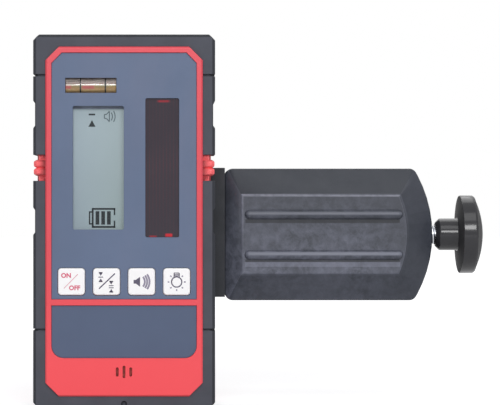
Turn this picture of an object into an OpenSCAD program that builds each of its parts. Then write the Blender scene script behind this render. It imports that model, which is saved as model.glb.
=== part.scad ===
// Laser receiver with a screw clamp that holds it on a levelling staff.
// Millimetres, +Z up. The display faces -Y and the clamp stands on the +X side.
// The origin is the middle of the receiver's bottom face.

/* [Receiver body] */
// Width over the rubber bumpers
body_w = 73; // [71:0.5:78]
// Height over the rubber bumpers
body_h = 150; // [149:0.5:158]
// Depth from the front of the bezel to the back face
body_d = 27; // [26:0.5:32]
// Height of the on-grade line above the keys, as a share of the panel's height there
grade_share = 0.4664; // [0.455:0.0001:0.48]
// Size of the bezel's cut-off corners
bezel_c = 5.5; // [4:0.5:7]
// Thickness of the bezel's side walls inside the bumpers
bezel_wall = 1.4; // [1.2:0.1:1.8]
// Thickness of the front wall behind the panels
face_wall = 2.2; // [1.8:0.1:2.6]
// Thickness of the back wall
back_wall = 2.4; // [2.2:0.1:3]

/* [Bumpers] */
// Width of the rubber border seen from the front
rim_w = 5; // [4.6:0.1:5.4]
// Thickness of the rubber at the sides
bumper_t = 2.4; // [2:0.1:2.8]
// Thickness of the rubber lips on the front and the back
lip_t = 2; // [1.6:0.1:2.4]
// How far the bezel stands proud of the rubber
bezel_proud = 1; // [0.6:0.1:1.4]
// Size of the cut-off corners of the rubber
corner_c = 2.4; // [1.6:0.1:3.2]
// Bevel along the front and back edges of the rubber
edge_c = 1.2; // [0.6:0.1:1.6]
// Height of the top cap
top_cap_h = 16.4; // [14:0.2:18]
// Height of the bottom cap
low_cap_h = 31.6; // [28:0.2:36]
// Height of the on-grade mark between the side bumpers
mark_h = 10.4; // [9.4:0.2:12]
// Length of the shallow grips in the side bumpers
grip_h = 11; // [8:0.5:13]
// Depth of the shallow grips
grip_d = 0.8; // [0.4:0.1:1.2]
// Distance of the grips from the on-grade line
grip_off = 21.4; // [20:0.2:23]

/* [Face] */
// Width of the bezel's frame round the panels
frame_w = 2.5; // [2:0.1:3]
// Depth of the panels below the bezel
panel_recess = 0.6; // [0.3:0.1:0.8]
// Thickness of the panels
panel_t = 0.8; // [0.6:0.1:1]
// Size of the upper panel's cut-off corners
panel_c = 4.1; // [3:0.1:5]
// Height of the lower panel's bottom edge
low_panel_z = 20.4; // [19.5:0.1:21]
// How much lower the lower panel is than the battery bay
low_panel_room = 8.85; // [8.4:0.05:11.8]
// Corner radius of the lower panel
low_panel_r = 4.8; // [3:0.1:6]
// Height of the bar between the panels
bar_h = 2.6; // [2:0.1:3]
// Width of the display opening, as a share of the panel's width
lcd_w_share = 0.3517; // [0.31:0.0001:0.36]
// Height of the display opening, as a share of the panel's height above the keys
lcd_h_share = 0.5742; // [0.51:0.0001:0.58]
// Middle of the display left of the centre line, as a share of the panel's width
lcd_x_share = 0.1776; // [0.173:0.0001:0.186]
// Width of the sensor window, as a share of the panel's width
sensor_w_share = 0.2328; // [0.207:0.0001:0.241]
// Height of the sensor window, as a share of the panel's height above the keys
sensor_h_share = 0.6462; // [0.58:0.0001:0.655]
// Middle of the sensor window right of the centre line, as a share of the panel's width
sensor_x_share = 0.2638; // [0.259:0.0001:0.272]
// Length of the vial's opening, as a share of the panel's width
vial_w_share = 0.3534; // [0.31:0.0001:0.362]
// Outer radius of the vial's tube
vial_r = 2.85; // [2.4:0.05:2.9]
// Middle of the vial left of the centre line, as a share of the panel's width
vial_x_share = 0.2293; // [0.224:0.0001:0.233]
// Height of the vial above the on-grade line, as a share of the panel's height above the keys
vial_rise_share = 0.3828; // [0.377:0.0001:0.388]
// Distance between the keys, as a share of the panel's width
key_pitch_share = 0.2421; // [0.238:0.0001:0.245]
// Side of a key, as a share of the distance between the keys
key_share = 0.7692; // [0.71:0.0001:0.81]
// Height of the keys' lower edges above the panel's lower edge
key_rise = 1.6; // [1.5:0.1:2]
// How far a key can be pressed
key_travel = 0.5; // [0.3:0.1:0.6]
// Height of the middle sound slot
slot_h = 5; // [4:0.1:6]
// Width of a sound slot
slot_w = 1.1; // [0.8:0.1:1.4]
// Distance between the sound slots
slot_pitch = 2.7; // [2.4:0.1:3]
// Height of the row of sound slots
slot_z = 14.8; // [14:0.1:15]

/* [Battery bay] */
// Depth of the receiver that the walls and the display take beside a cell
cell_depth_room = 12.5; // [12.4:0.1:13.5]
// Room beside a cell for its contacts, its spring and the walls of the bay
cell_room = 9.7; // [9.7:0.1:12]
// Wall of the battery tray
tray_wall = 1.2; // [1:0.1:1.4]
// Radius of the door's hinge pin
door_pin_r = 0.6; // [0.5:0.05:0.7]

/* [Clamp] */
// Length of the clamp housing
clamp_l = 85.9; // [84:0.1:96]
// Height of the clamp housing
clamp_h = 54.5; // [52:0.1:56]
// Depth of the clamp housing from its face to its back
clamp_d = 20; // [19:0.5:24]
// Wall of the clamp housing
clamp_wall = 3; // [2.5:0.1:3.4]
// Gap between the receiver's side and the clamp housing
clamp_gap = 4.5; // [3:0.1:5]
// Distance from the on-grade line down to the clamp's middle, as a share of the height above the keys
clamp_drop_share = 0.3147; // [0.307:0.0001:0.325]
// How far the housing's face stands in front of the receiver's back
face_fwd = 4.5; // [3:0.5:6]
// Radius of the housing's round end
end_r = 52.1; // [48:0.1:60]
// Width of the bevels along the top and bottom
bevel_v = 11; // [9:0.1:12]
// Width of the bevel at the receiver's side
bevel_side = 6.9; // [6:0.1:9]
// Width of the bevel at the round end
bevel_end = 10.9; // [9:0.1:12]
// Depth of the bevels
bevel_d = 6; // [4:0.5:7]
// Width of a rib on the housing's face
rib_w = 4.2; // [3:0.1:5]
// Distance between the two ribs
rib_pitch = 16.6; // [14:0.1:18]
// Height of the bracket plate and the fixed jaw
bracket_h = 53.3; // [50:0.1:54]
// How far the bracket sits above the housing's middle
bracket_rise = 0.9; // [0:0.1:1.2]
// Thickness of the bracket plate
plate_t = 6; // [5:0.5:7]
// How far the jaws reach behind the clamp housing
jaw_reach = 21; // [16:0.5:26]
// Thickness of the fixed jaw
fixed_jaw_t = 7; // [6:0.5:8]
// Thickness of the sliding jaw
sliding_jaw_t = 8; // [7:0.5:9]
// Thickness of the jaw pads
pad_t = 2; // [1.6:0.1:3]
// Gap between the pads with the clamp closed
grip_min = 12; // [8:0.5:14]
// Length of the carriage that guides the sliding jaw
carriage_l = 14; // [13:0.5:18]
// Radius of the clamp screw
screw_r = 4; // [3.5:0.1:4.5]
// Radius of the clamp knob
knob_r = 16.2; // [14:0.2:17]
// Radius of the clamp knob's hub
hub_r = 6.6; // [6:0.1:8]
// Length of the clamp knob's hub
hub_l = 10.2; // [8:0.2:12]
// Width of the clamp knob's rim
knob_rim = 6.1; // [5:0.1:8]
// Height of the clamp knob's dome
knob_dome = 3.4; // [1.5:0.1:4]

/* [Mounting screw] */
// Radius of the mounting screw's thread
mount_r = 3.175; // [3:0.025:3.175]
// Radius of the mounting screw's head
mount_head_r = 11; // [9:0.5:12]
// Length of the mounting screw's head
mount_head_l = 9; // [7:0.5:12]
// Distance from the mounting screw's tip to the bottom of the receiver's insert
mount_tip_gap = 1.5; // [1:0.5:4]

/* [Hidden] */
$fn = 64;

// Colours
red = [0.88, 0.17, 0.2];
rubber = [0.2, 0.2, 0.22];
panel_blue = [0.36, 0.41, 0.53];
panel_dark = [0.31, 0.36, 0.46];
smoked = [0.22, 0.14, 0.16];
white = [0.95, 0.94, 0.94];
board_green = [0.1, 0.4, 0.22];
black = [0.14, 0.14, 0.16];
steel = [0.72, 0.73, 0.75];
brass = [0.8, 0.65, 0.3];

// Small sizes that all pieces share
over = 1;
bite = 0.5;
fit = 0.02;
run_gap = 0.05;
arc_steps = 6;

// Depths of the receiver's layers, from the front to the back
y_front = -body_d / 2;
y_back = body_d / 2;
y_part = 0;
y_panel = y_front + panel_recess;
y_floor = y_panel + panel_t;
y_wall = y_floor + face_wall;
y_in = y_back - back_wall;
y_shoulder = y_front + bezel_proud + lip_t;
bumper_half = body_d / 2 - bezel_proud;

// Outlines of the receiver
mid_z = body_h / 2;
base_w = body_w - 2 * bumper_t;
base_h = body_h - 2 * bumper_t;
bezel_w = body_w - 2 * rim_w;
bezel_h = body_h - 2 * rim_w;
bezel_edge = 0.6;
cavity_w = bezel_w - 2 * bezel_wall;
cavity_h = bezel_h - 2 * bezel_wall;
cavity_z = rim_w + bezel_wall;
cell_gap = 0.25;
cell_d = body_d - cell_depth_room;
tray_in_h = 2 * cell_d + 3 * cell_gap;
low_panel_h = tray_in_h - low_panel_room;
panel_w = bezel_w - 2 * frame_w;
panel_top_z = body_h - rim_w - frame_w;
up_panel_z = low_panel_z + low_panel_h + bar_h;
panel_gap = 0.1;
key_pitch = panel_w * key_pitch_share;
key_w = key_pitch * key_share;
key_z = up_panel_z + key_rise + key_w / 2;
face_z = key_z + key_w / 2;
face_h = panel_top_z - face_z;
grade_z = face_z + face_h * grade_share;

// Bumper grooves and the on-grade mark
groove_w = 0.8;
groove_d = 0.8;
grip_slope = 1;
mark_sink = 1.7;
ridge_h = 3.2;
ridge_crest_h = 1.4;
ridge_sink = 0.25;
ridge_sink_mid = 0.5;
ridge_sink_low = 1.3;
notch_r = 1.2;
notch_h = 2;

// Display, sensor and vial
lcd_w = panel_w * lcd_w_share;
lcd_h = face_h * lcd_h_share;
lcd_x = panel_w * lcd_x_share;
sensor_w = panel_w * sensor_w_share;
sensor_h = face_h * sensor_h_share;
sensor_x = panel_w * sensor_x_share;
lens_t = 1.2;
lens_lap = 1.6;
glass_t = 2.2;
glass_lap_share = 0.0517;
glass_lap = panel_w * glass_lap_share;
glass_room = 0.65;
backlight_t = 2.5;
y_lens = y_wall + lens_t;
y_glass = y_lens + glass_t;
y_board = y_glass + backlight_t;
board_t = 1.6;
y_board_back = y_board + board_t;
filter_recess = 0.9;
filter_lap = 1.5;
diode_w = 5.4;
diode_h = 4.4;
diode_t = 1.3;
diode_count = 9;
diode_end = 4;
sensor_board_share = 0.2931;
sensor_board_lap = 3.15;
sensor_board_w = panel_w * sensor_board_share;
sensor_board_h = sensor_h + 2 * sensor_board_lap;
diode_pitch = (sensor_board_h - 2 * diode_end) / diode_count;
sensor_board_t = 1;
spacer_t = 1.2;
spacer_h = 4;
y_sensor_board = y_board - spacer_t - sensor_board_t;
vial_recess = 0.25;
vial_gap = 0.15;
vial_bore_r = 2;
vial_plug_l = 1.6;
vial_line_gap = 10;
vial_line_w = 0.5;
vial_line_t = 0.08;
vial_line_off = 0.8;
bubble_r = 0.9;
bubble_l = 2.8;
bubble_rise = 1.3;
bubble_off = 1;
cradle_wall = 1;
cradle_half = vial_r + vial_gap + cradle_wall;
vial_w = panel_w * vial_w_share;
vial_x = panel_w * vial_x_share;
vial_z = grade_z + face_h * vial_rise_share;
glass_end = vial_z - cradle_half - glass_room - grade_z - lcd_h / 2;
vial_y = y_panel + vial_recess + vial_r;
vial_half = vial_w / 2 - vial_gap;

// Keys and switches
key_count = 4;
key_r = 1.4;
key_proud = 0.4;
key_edge = 0.4;
key_side_gap = 0.2;
key_gap = 0.1;
key_lap = 0.6;
key_flange_t = 1;
switch_w = 6;
switch_stem_r = 1.7;
switch_stem_l = 1;
y_key = y_panel - key_proud;
y_flange = y_wall + key_gap;
y_key_back = y_flange + key_flange_t;
y_switch = y_key_back + key_travel + key_gap;

// Sound
slot_side_h = 3.7;
buzzer_r = 8;
buzzer_t = 2.6;
buzzer_ring = 1.2;
mesh_t = 0.3;

// Battery bay
cell_floor_gap = 0.3;
cell_door_gap = 0.6;
nub_l = 1;
nub_r = 2.6;
contact_t = 0.5;
contact_w = 9;
spring_l = 3.4;
spring_w = 6;
spring_t = 0.4;
tab_w = 3;
tray_gap = 0.1;
tray_c_in = 1.7;
tray_c_out = 2.9;
contact_low = 2;
cell_l = cavity_w - cell_room;
tray_in_w = cell_l + spring_l + 2 * contact_t + cell_gap;
tray_in_d = cell_d + cell_floor_gap + cell_door_gap;
tray_z = cavity_z + tray_gap + tray_wall;
tray_top = tray_z + tray_in_h + tray_wall;
y_tray = y_in - tray_in_d;
cell_y = y_in - cell_door_gap - cell_d / 2;
tab_low_y = y_tray + cell_floor_gap;
tab_high_y = tab_low_y + tab_w + cell_gap;
door_gap = 0.3;
knuckle_shy = 0.1;
knuckle_r = back_wall / 2 - knuckle_shy;
hinge_y = (y_in + y_back) / 2;
hinge_z = tray_z + door_gap + knuckle_r;
door_top = tray_z + tray_in_h - door_gap;
pin_end = 1.2;
pad_foam_t = 0.5;
pad_foam_w = 36;
pad_foam_h = 10;
door_rib_w = 18;
door_rib_r = 0.8;
door_rib_pitch = 2.6;
door_rib_count = 3;
door_rib_drop = 3.4;

// Housing screws, circuit board and its posts
boss_r = 3.3;
boss_front_r = 2.7;
boss_inset = 8.1;
boss_x = cavity_w / 2 - boss_inset;
boss_gap = 0.2;
boss_top_drop = 11;
shank_r = 1.25;
shank_l = 9;
head_r = 2.2;
head_h = 1.8;
head_gap = 0.2;
head_seat = 3;
socket_r = 1.1;
hex_sides = 6;
socket_d = 1;
boss_low_z = tray_top + boss_gap + boss_r;
boss_high_z = body_h - boss_top_drop;
seal_w = 1.4;
seal_d = 0.9;
board_gap = 1.2;
board_w = cavity_w - 2 * board_gap;
board_z = boss_low_z + boss_r + boss_gap;
board_top = boss_high_z - boss_r - boss_gap;
post_r = 2.2;
post_gap = 0.6;
post_x = cavity_w / 2 - post_r - post_gap;
post_low_z = key_z + key_w + key_lap;
post_high_z = grade_z + grip_off;
post_screw_r = 1;
post_screw_l = 4;
post_head_r = 1.9;
post_head_h = 1.3;
chip_w = 12;
chip_t = 1.5;
chip_pitch = 22;
chip_count = 3;

// Places of the clamp
clamp_z = grade_z - face_h * clamp_drop_share;
clamp_x = body_w / 2 + clamp_gap;
clamp_end = clamp_x + clamp_l;
y_face = y_back - face_fwd;
y_rim = y_face + bevel_d;
y_clamp_back = y_face + clamp_d;
arc_x = clamp_end - end_r;
end_round = 3.3;
face_share = 0.3;
track_t = 2;
track_w = 4.4;
slide_gap = 0.3;
rib_proud = 1.5;
rib_end = 3.1;
rib_x0 = clamp_x + bevel_side + rib_end;
rib_x1 = arc_x + sqrt(pow(end_r - bevel_end, 2) - pow(rib_pitch / 2, 2)) - rib_end;
bracket_z = clamp_z + bracket_rise;
y_plate = y_back + plate_t;
y_jaw = y_clamp_back + jaw_reach;
jaw_round = 5;
jaw_trim = 0.8;
gusset_t = 3;
gusset_l = 12;
gusset_pitch = 26;
gusset_h_share = 0.6;
tongue_r = 15;
tongue_root = 7;
pad_margin = 1;
pad_end = 4;
pad_teeth = 6;
tooth_d = 0.7;
tooth_shares = [0, 0.6, 0.8];
bracket_screw_r = 1.5;
bracket_screw_l = 9.4;
bracket_screw_pitch = 36;
bracket_head_r = 2.7;
bracket_head_h = 2.2;
bracket_boss_r = 3.4;
bracket_boss_l = 5;
screw_share = 0.55;
screw_y = y_face + clamp_d * screw_share;
nut_l = 10;
nut_r = 6;
nut_lip_r = 6.5;
nut_lip_l = 1.2;
nut_wall = 2.4;
nut_cover = 3;
screw_clear = 0.3;
nut_x = clamp_end - nut_l;
jaw_x = clamp_x + pad_t + grip_min + pad_t;
carriage_end = jaw_x + carriage_l;
carriage_core_w = 24;
carriage_lift = 1.8;
carriage_flange_t = 6;
y_track = y_clamp_back - track_t - slide_gap;
carriage_half = clamp_h / 2 - clamp_wall - slide_gap;
stem_half = clamp_h / 2 - clamp_wall - track_w - slide_gap;
pocket_l = 4.4;
pocket_w = 10.4;
pocket_wall = 3.6;
pocket_x = jaw_x + pocket_wall;
tip_r = 2.5;
tip_end = 1.2;
clip_r = 4.2;
clip_t = 0.8;
clip_gap = 0.25;
clip_slot = 0.6;
clip_x = pocket_x + pocket_l - clip_gap - clip_t;
shoulder_gap = 0.1;
knob_gap = 1.4;
knob_x = clamp_end + knob_gap;
knob_round = 1.6;
knob_in_round = 0.5;
rim_turn = 60;
hub_chamfer = 1.8;
hub_round = 1.5;
knob_depth = 12;
dome_rim = 1.2;
dome_r = (pow(knob_r - dome_rim, 2) + pow(knob_dome, 2)) / (2 * knob_dome);

// Mounting screw, insert and locating pins
insert_r = 4.8;
insert_room = 17;
insert_l = body_d - insert_room;
mount_grip = insert_l - mount_tip_gap;
insert_wall = 2.7;
insert_floor = 1.2;
washer_r = 8;
washer_t = 1.2;
mount_hole_gap = 0.4;
lobe_count = 8;
lobe_r = 2.4;
lobe_out = 1;
head_round = 1.2;
neck_r = 6;
neck_l = 1;
locate_r = 2;
locate_l = 1.8;
locate_gap = 0.1;
locate_pitch = 22;
y_insert = y_back - insert_l;
y_washer = y_plate + washer_t;

// Points along an arc about a centre.
function arc(centre, r, a0, a1) =
    [for (i = [0:arc_steps]) let(a = a0 + (a1 - a0) * i / arc_steps) centre + r * [cos(a), sin(a)]];

// Points of a rectangle with round corners, about its centre.
function rounded(w, h, r) = concat(
    arc([w / 2 - r, h / 2 - r], r, 0, 90),
    arc([r - w / 2, h / 2 - r], r, 90, 180),
    arc([r - w / 2, r - h / 2], r, 180, 270),
    arc([w / 2 - r, r - h / 2], r, 270, 360));

// Points of a rectangle with cut-off corners, about its centre.
function chamfered(w, h, c) = [
    [w / 2 - c, -h / 2], [w / 2, c - h / 2], [w / 2, h / 2 - c], [w / 2 - c, h / 2],
    [c - w / 2, h / 2], [-w / 2, h / 2 - c], [-w / 2, c - h / 2], [c - w / 2, -h / 2]];

// Middle of a key in X.
function key_x(i) = (i - (key_count - 1) / 2) * key_pitch;

// Extrudes a shape drawn in X and Z between two depths.
module slab(y0, y1)
    translate([0, y1, 0]) rotate([90, 0, 0]) linear_extrude(y1 - y0) children();

// Extrudes a shape drawn in Y and Z between two places along X.
module bar(x0, x1)
    translate([x0, 0, 0]) rotate([90, 0, 90]) linear_extrude(x1 - x0) children();

// A round rod along Y, and one along X.
module rod_y(r, y0, y1)
    translate([0, y0, 0]) rotate([-90, 0, 0]) cylinder(h = y1 - y0, r = r);

module rod_x(r, x0, x1)
    translate([x0, 0, 0]) rotate([0, 90, 0]) cylinder(h = x1 - x0, r = r);

// A rectangle in X and Z from its middle, and a plain block between two corners.
module pane(x, z, w, h)
    translate([x, z]) square([w, h], center = true);

module block(low, high)
    translate(low) cube(high - low);

// A block with cut-off corners in the front view and bevelled front and back edges.
module bevel_block(w, h, d, corner, edge)
    translate([0, 0, mid_z]) intersection() {
        slab(-d / 2, d / 2) polygon(chamfered(w, h, corner));
        bar(-w / 2, w / 2) polygon(chamfered(d, h, edge));
        translate([0, 0, -h / 2]) linear_extrude(h) polygon(chamfered(w, d, edge));
    }

// The rubber's outer form, drawn in by an inset.
module envelope(inset)
    bevel_block(body_w - 2 * inset, body_h - 2 * inset, 2 * (bumper_half - inset), corner_c, edge_c);

// A slice of the envelope about a height.
module band(inset, z, h)
    intersection() {
        envelope(inset);
        block([-body_w, -body_d, z - h / 2], [body_w, body_d, z + h / 2]);
    }

// The closed form of both housings, which the bumpers sit on.
module housing_form() {
    slab(y_shoulder, -y_shoulder)
        translate([0, mid_z]) polygon(chamfered(base_w, base_h, corner_c));
    bevel_block(bezel_w, bezel_h, body_d, bezel_c, bezel_edge);
}

// Two ridges round the receiver that show the on-grade line.
module grade_mark() {
    band(mark_sink, grade_z, mark_h);
    for (side = [-1, 1])
        hull() {
            band(ridge_sink, grade_z + side * ridge_h / 2, ridge_crest_h);
            band(ridge_sink_mid, grade_z + side * ridge_h / 2, (ridge_crest_h + ridge_h) / 2);
            band(ridge_sink_low, grade_z + side * ridge_h / 2, ridge_h);
        }
}

// One half of the housing with its hollow, between the parting plane and its own face.
module housing_half(y0, y1, hollow0, hollow1)
    difference() {
        intersection() {
            union() {
                housing_form();
                grade_mark();
            }
            block([-body_w, y0, -over], [body_w, y1, body_h + over]);
        }
        slab(hollow0, hollow1)
            translate([0, mid_z]) polygon(chamfered(cavity_w, cavity_h, bezel_c - bezel_wall));
    }

module at_housing_screws()
    for (x = [-boss_x, boss_x], z = [boss_low_z, boss_high_z])
        translate([x, 0, z]) children();

module at_board_posts()
    for (x = [-post_x, post_x], z = [post_low_z, post_high_z])
        translate([x, 0, z]) children();

// Outlines of the two panels, widened by a gap for their recesses.
module upper_panel_outline(gap) {
    half = panel_w / 2 + gap;
    polygon([[-half, up_panel_z - gap], [half, up_panel_z - gap],
        [half, panel_top_z - panel_c], [half - panel_c, panel_top_z + gap],
        [panel_c - half, panel_top_z + gap], [-half, panel_top_z - panel_c]]);
}

module lower_panel_outline(gap) {
    half = panel_w / 2 + gap;
    low = low_panel_z - gap;
    polygon(concat([[half, low_panel_z + low_panel_h + gap], [-half, low_panel_z + low_panel_h + gap]],
        arc([low_panel_r - half, low + low_panel_r], low_panel_r, 180, 270),
        arc([half - low_panel_r, low + low_panel_r], low_panel_r, 270, 360)));
}

// The openings that the upper panel and the front wall share.
module window_openings() {
    pane(-lcd_x, grade_z, lcd_w, lcd_h);
    pane(sensor_x, grade_z, sensor_w, sensor_h);
    pane(-vial_x, vial_z, vial_w, 2 * (vial_r + vial_gap));
    for (i = [0:key_count - 1])
        translate([key_x(i), key_z])
            polygon(rounded(key_w + 2 * key_side_gap, key_w + 2 * key_side_gap, key_r + key_side_gap));
}

// Three slots with round ends in front of the buzzer.
module sound_slots()
    for (i = [-1, 0, 1])
        let(h = i == 0 ? slot_h : slot_side_h)
            translate([i * slot_pitch, slot_z]) {
                square([slot_w, h - slot_w], center = true);
                for (side = [-1, 1])
                    translate([0, side * (h - slot_w) / 2]) circle(d = slot_w);
            }

// The front shell with the bezel, the windows and the bosses.
module front_housing()
    color(red) difference() {
        union() {
            housing_half(y_front, y_part, y_wall, y_part + over);
            at_housing_screws() rod_y(boss_front_r, y_wall - bite, y_part);
            at_board_posts() rod_y(post_r, y_wall - bite, y_board);
            translate([0, 0, slot_z])
                rod_y(buzzer_r + fit + buzzer_ring, y_wall - bite, y_wall + mesh_t + buzzer_t);
            block([-vial_x - vial_w / 2 - cradle_wall, y_wall - bite, vial_z - cradle_half],
                [vial_w / 2 + cradle_wall - vial_x, vial_y + cradle_half, vial_z + cradle_half]);
        }
        slab(y_front - over, y_floor) {
            upper_panel_outline(panel_gap);
            lower_panel_outline(panel_gap);
        }
        slab(y_front - over, y_wall + over)
            difference() {
                window_openings();
                pane(-vial_x, vial_z, vial_w + over, 2 * cradle_half);
            }
        slab(y_front - over, vial_y) pane(-vial_x, vial_z, vial_w, 2 * (vial_r + vial_gap));
        translate([0, vial_y, vial_z])
            rod_x(vial_r + vial_gap - fit, -vial_x - vial_w / 2, vial_w / 2 - vial_x);
        slab(y_front - over, y_wall + over) sound_slots();
        translate([0, 0, slot_z]) rod_y(buzzer_r + fit, y_wall, y_board);
        at_housing_screws() rod_y(shank_r + fit, y_part + head_seat - shank_l - bite, y_part + over);
        at_board_posts() rod_y(post_screw_r + fit, y_board_back - post_screw_l - bite, y_board + over);
        slab(y_part - seal_d, y_part + over) seal_ring();
    }

// The back shell with the battery opening, the insert's boss and the screw bosses.
module rear_housing()
    color(red) difference() {
        union() {
            housing_half(y_part, y_back, y_part - over, y_in);
            at_housing_screws() rod_y(boss_r, y_part, y_in + bite);
            translate([0, 0, clamp_z])
                rod_y(insert_r + insert_wall, y_insert - insert_floor, y_in + bite);
        }
        slab(y_in - over, y_back + over) pane(0, tray_z + tray_in_h / 2, tray_in_w, tray_in_h);
        translate([0, hinge_y, hinge_z])
            rod_x(door_pin_r + fit, -tray_in_w / 2 - pin_end, tray_in_w / 2 + pin_end);
        at_housing_screws() {
            rod_y(shank_r + fit, y_part - over, y_back);
            rod_y(head_r + head_gap, y_part + head_seat, y_back + over);
        }
        translate([0, 0, clamp_z]) rod_y(insert_r + fit, y_insert, y_back + over);
        at_locating_pins() rod_y(locate_r + locate_gap, y_back - locate_l - locate_gap, y_back + over);
    }

module seal_ring()
    translate([0, mid_z]) difference() {
        polygon(chamfered((cavity_w + base_w) / 2 + seal_w, (cavity_h + base_h) / 2 + seal_w, corner_c));
        polygon(chamfered((cavity_w + base_w) / 2 - seal_w, (cavity_h + base_h) / 2 - seal_w, corner_c));
    }

module housing_seal()
    color(black) slab(y_part - seal_d, y_part) seal_ring();

// Four screws sunk deep in the rear bosses, with hexagon sockets.
module housing_screws()
    color(steel) at_housing_screws() difference() {
        union() {
            rod_y(shank_r, y_part + head_seat - shank_l, y_part + head_seat + bite);
            rod_y(head_r, y_part + head_seat, y_part + head_seat + head_h);
        }
        translate([0, y_part + head_seat + head_h - socket_d, 0])
            rotate([-90, 0, 0]) cylinder(h = socket_d + over, r = socket_r, $fn = hex_sides);
    }

// One length of rubber on one side or both, between two heights.
module bumper(x0, x1, z0, z1)
    difference() {
        intersection() {
            envelope(0);
            block([x0, -body_d, z0], [x1, body_d, z1]);
        }
        housing_form();
        for (z = [z0, z1])
            difference() {
                block([-body_w, -body_d, z - groove_w / 2], [body_w, body_d, z + groove_w / 2]);
                envelope(groove_d);
                block([-body_w, -body_d, -body_h], [body_w, body_d, groove_w]);
                block([-body_w, -body_d, body_h - groove_w], [body_w, body_d, 2 * body_h]);
                block([-body_w, -body_d, grade_z - mark_h], [body_w, body_d, grade_z + mark_h]);
            }
    }

// A side bumper with a shallow grip, drawn on the right side.
module side_bumper(z0, z1, grip_z)
    color(rubber) difference() {
        bumper(0, body_w, z0, z1);
        slab(-body_d, body_d)
            polygon([[body_w / 2 - grip_d, grip_z - grip_h / 2 + grip_slope],
                [body_w / 2 + over, grip_z - grip_h / 2 - grip_slope * over / grip_d],
                [body_w / 2 + over, grip_z + grip_h / 2 + grip_slope * over / grip_d],
                [body_w / 2 - grip_d, grip_z + grip_h / 2 - grip_slope]]);
    }

module right_upper_bumper()
    side_bumper(grade_z + mark_h / 2, body_h - top_cap_h, grade_z + grip_off);

module right_lower_bumper()
    side_bumper(low_cap_h, grade_z - mark_h / 2, grade_z - grip_off);

module left_upper_bumper()
    mirror([1, 0, 0]) right_upper_bumper();

module left_lower_bumper()
    mirror([1, 0, 0]) right_lower_bumper();

module top_bumper()
    color(rubber) bumper(-body_w, body_w, body_h - top_cap_h, body_h);

// The bottom cap has a small centre notch in its front edge.
module bottom_bumper()
    color(rubber) difference() {
        bumper(-body_w, body_w, 0, low_cap_h);
        translate([0, -bumper_half, 0]) {
            translate([0, 0, -over]) cylinder(h = notch_h + over, r = notch_r);
            translate([0, 0, notch_h]) sphere(r = notch_r);
        }
    }

module upper_panel()
    color(panel_blue) slab(y_panel, y_floor) difference() {
        upper_panel_outline(0);
        window_openings();
    }

module lower_panel()
    color(panel_dark) slab(y_panel, y_floor) lower_panel_outline(0);

// Clear lens behind the front wall, the display glass and its light guide.
module lcd_lens()
    color([0.8, 0.85, 0.86, 0.3])
        slab(y_wall, y_lens) pane(-lcd_x, grade_z, lcd_w + 2 * lens_lap, lcd_h + 2 * lens_lap);

module lcd_glass()
    color([0.6, 0.66, 0.68])
        slab(y_lens, y_glass) pane(-lcd_x, grade_z, lcd_w + 2 * glass_lap, lcd_h + 2 * glass_end);

module lcd_backlight()
    color(white) slab(y_glass, y_board) pane(-lcd_x, grade_z, lcd_w + 2 * lens_lap, lcd_h + 2 * glass_end);

// Smoked filter that fills its opening and laps behind the front wall.
module sensor_filter()
    color(smoked) {
        slab(y_panel + filter_recess, y_wall + bite)
            pane(sensor_x, grade_z, sensor_w - 2 * run_gap, sensor_h - 2 * run_gap);
        slab(y_wall, y_lens)
            pane(sensor_x, grade_z, sensor_w + 2 * filter_lap, sensor_h + 2 * filter_lap);
    }

module sensor_board()
    color(board_green) slab(y_sensor_board, y_sensor_board + sensor_board_t)
        pane(sensor_x, grade_z, sensor_board_w, sensor_board_h);

// Strips that carry the sensor board on the main board.
module sensor_spacers()
    color(black) for (side = [-1, 1])
        slab(y_board - spacer_t, y_board)
            pane(sensor_x, grade_z + side * (sensor_board_h - spacer_h) / 2, sensor_board_w, spacer_h);

module photodiodes()
    color([0.1, 0.08, 0.1]) for (i = [0:diode_count - 1])
        slab(y_sensor_board - diode_t, y_sensor_board)
            pane(sensor_x, grade_z + (i - (diode_count - 1) / 2) * diode_pitch, diode_w, diode_h);

// The levelling vial: a clear tube, two end plugs, the fluid round its bubble, and two printed lines.
module at_vial()
    translate([-vial_x, vial_y, vial_z]) children();

module vial_tube()
    color([0.9, 0.92, 0.88, 0.4]) at_vial() difference() {
        rod_x(vial_r, -vial_half, vial_half);
        rod_x(vial_bore_r, -vial_half - over, vial_half + over);
    }

module vial_plugs()
    color(red) at_vial() {
        rod_x(vial_bore_r - fit, -vial_half, vial_plug_l - vial_half);
        rod_x(vial_bore_r - fit, vial_half - vial_plug_l, vial_half);
    }

module vial_fluid()
    color([0.75, 0.72, 0.3]) at_vial() difference() {
        rod_x(vial_bore_r - fit, vial_plug_l - vial_half, vial_half - vial_plug_l);
        translate([-bubble_off, 0, bubble_rise]) {
            rod_x(bubble_r, -bubble_l / 2, bubble_l / 2);
            for (side = [-1, 1])
                translate([side * bubble_l / 2, 0, 0]) sphere(r = bubble_r);
        }
    }

module vial_lines()
    color(black) at_vial() for (side = [-1, 1])
        translate([vial_line_off, 0, 0]) difference() {
            rod_x(vial_r + vial_line_t, (side * vial_line_gap - vial_line_w) / 2,
                (side * vial_line_gap + vial_line_w) / 2);
            rod_x(vial_r, -vial_half, vial_half);
        }

module main_board()
    color(board_green) difference() {
        slab(y_board, y_board_back) pane(0, (board_z + board_top) / 2, board_w, board_top - board_z);
        at_board_posts() rod_y(post_screw_r + fit, y_board - over, y_board_back + over);
    }

module board_screws()
    color(steel) at_board_posts() {
        rod_y(post_screw_r, y_board_back - post_screw_l, y_board_back + bite);
        rod_y(post_head_r, y_board_back, y_board_back + post_head_h);
    }

module board_chips()
    color(black) for (i = [0:chip_count - 1])
        slab(y_board_back, y_board_back + chip_t)
            pane(-lcd_x, grade_z + (i - (chip_count - 1) / 2) * chip_pitch, chip_w, chip_w);

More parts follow.
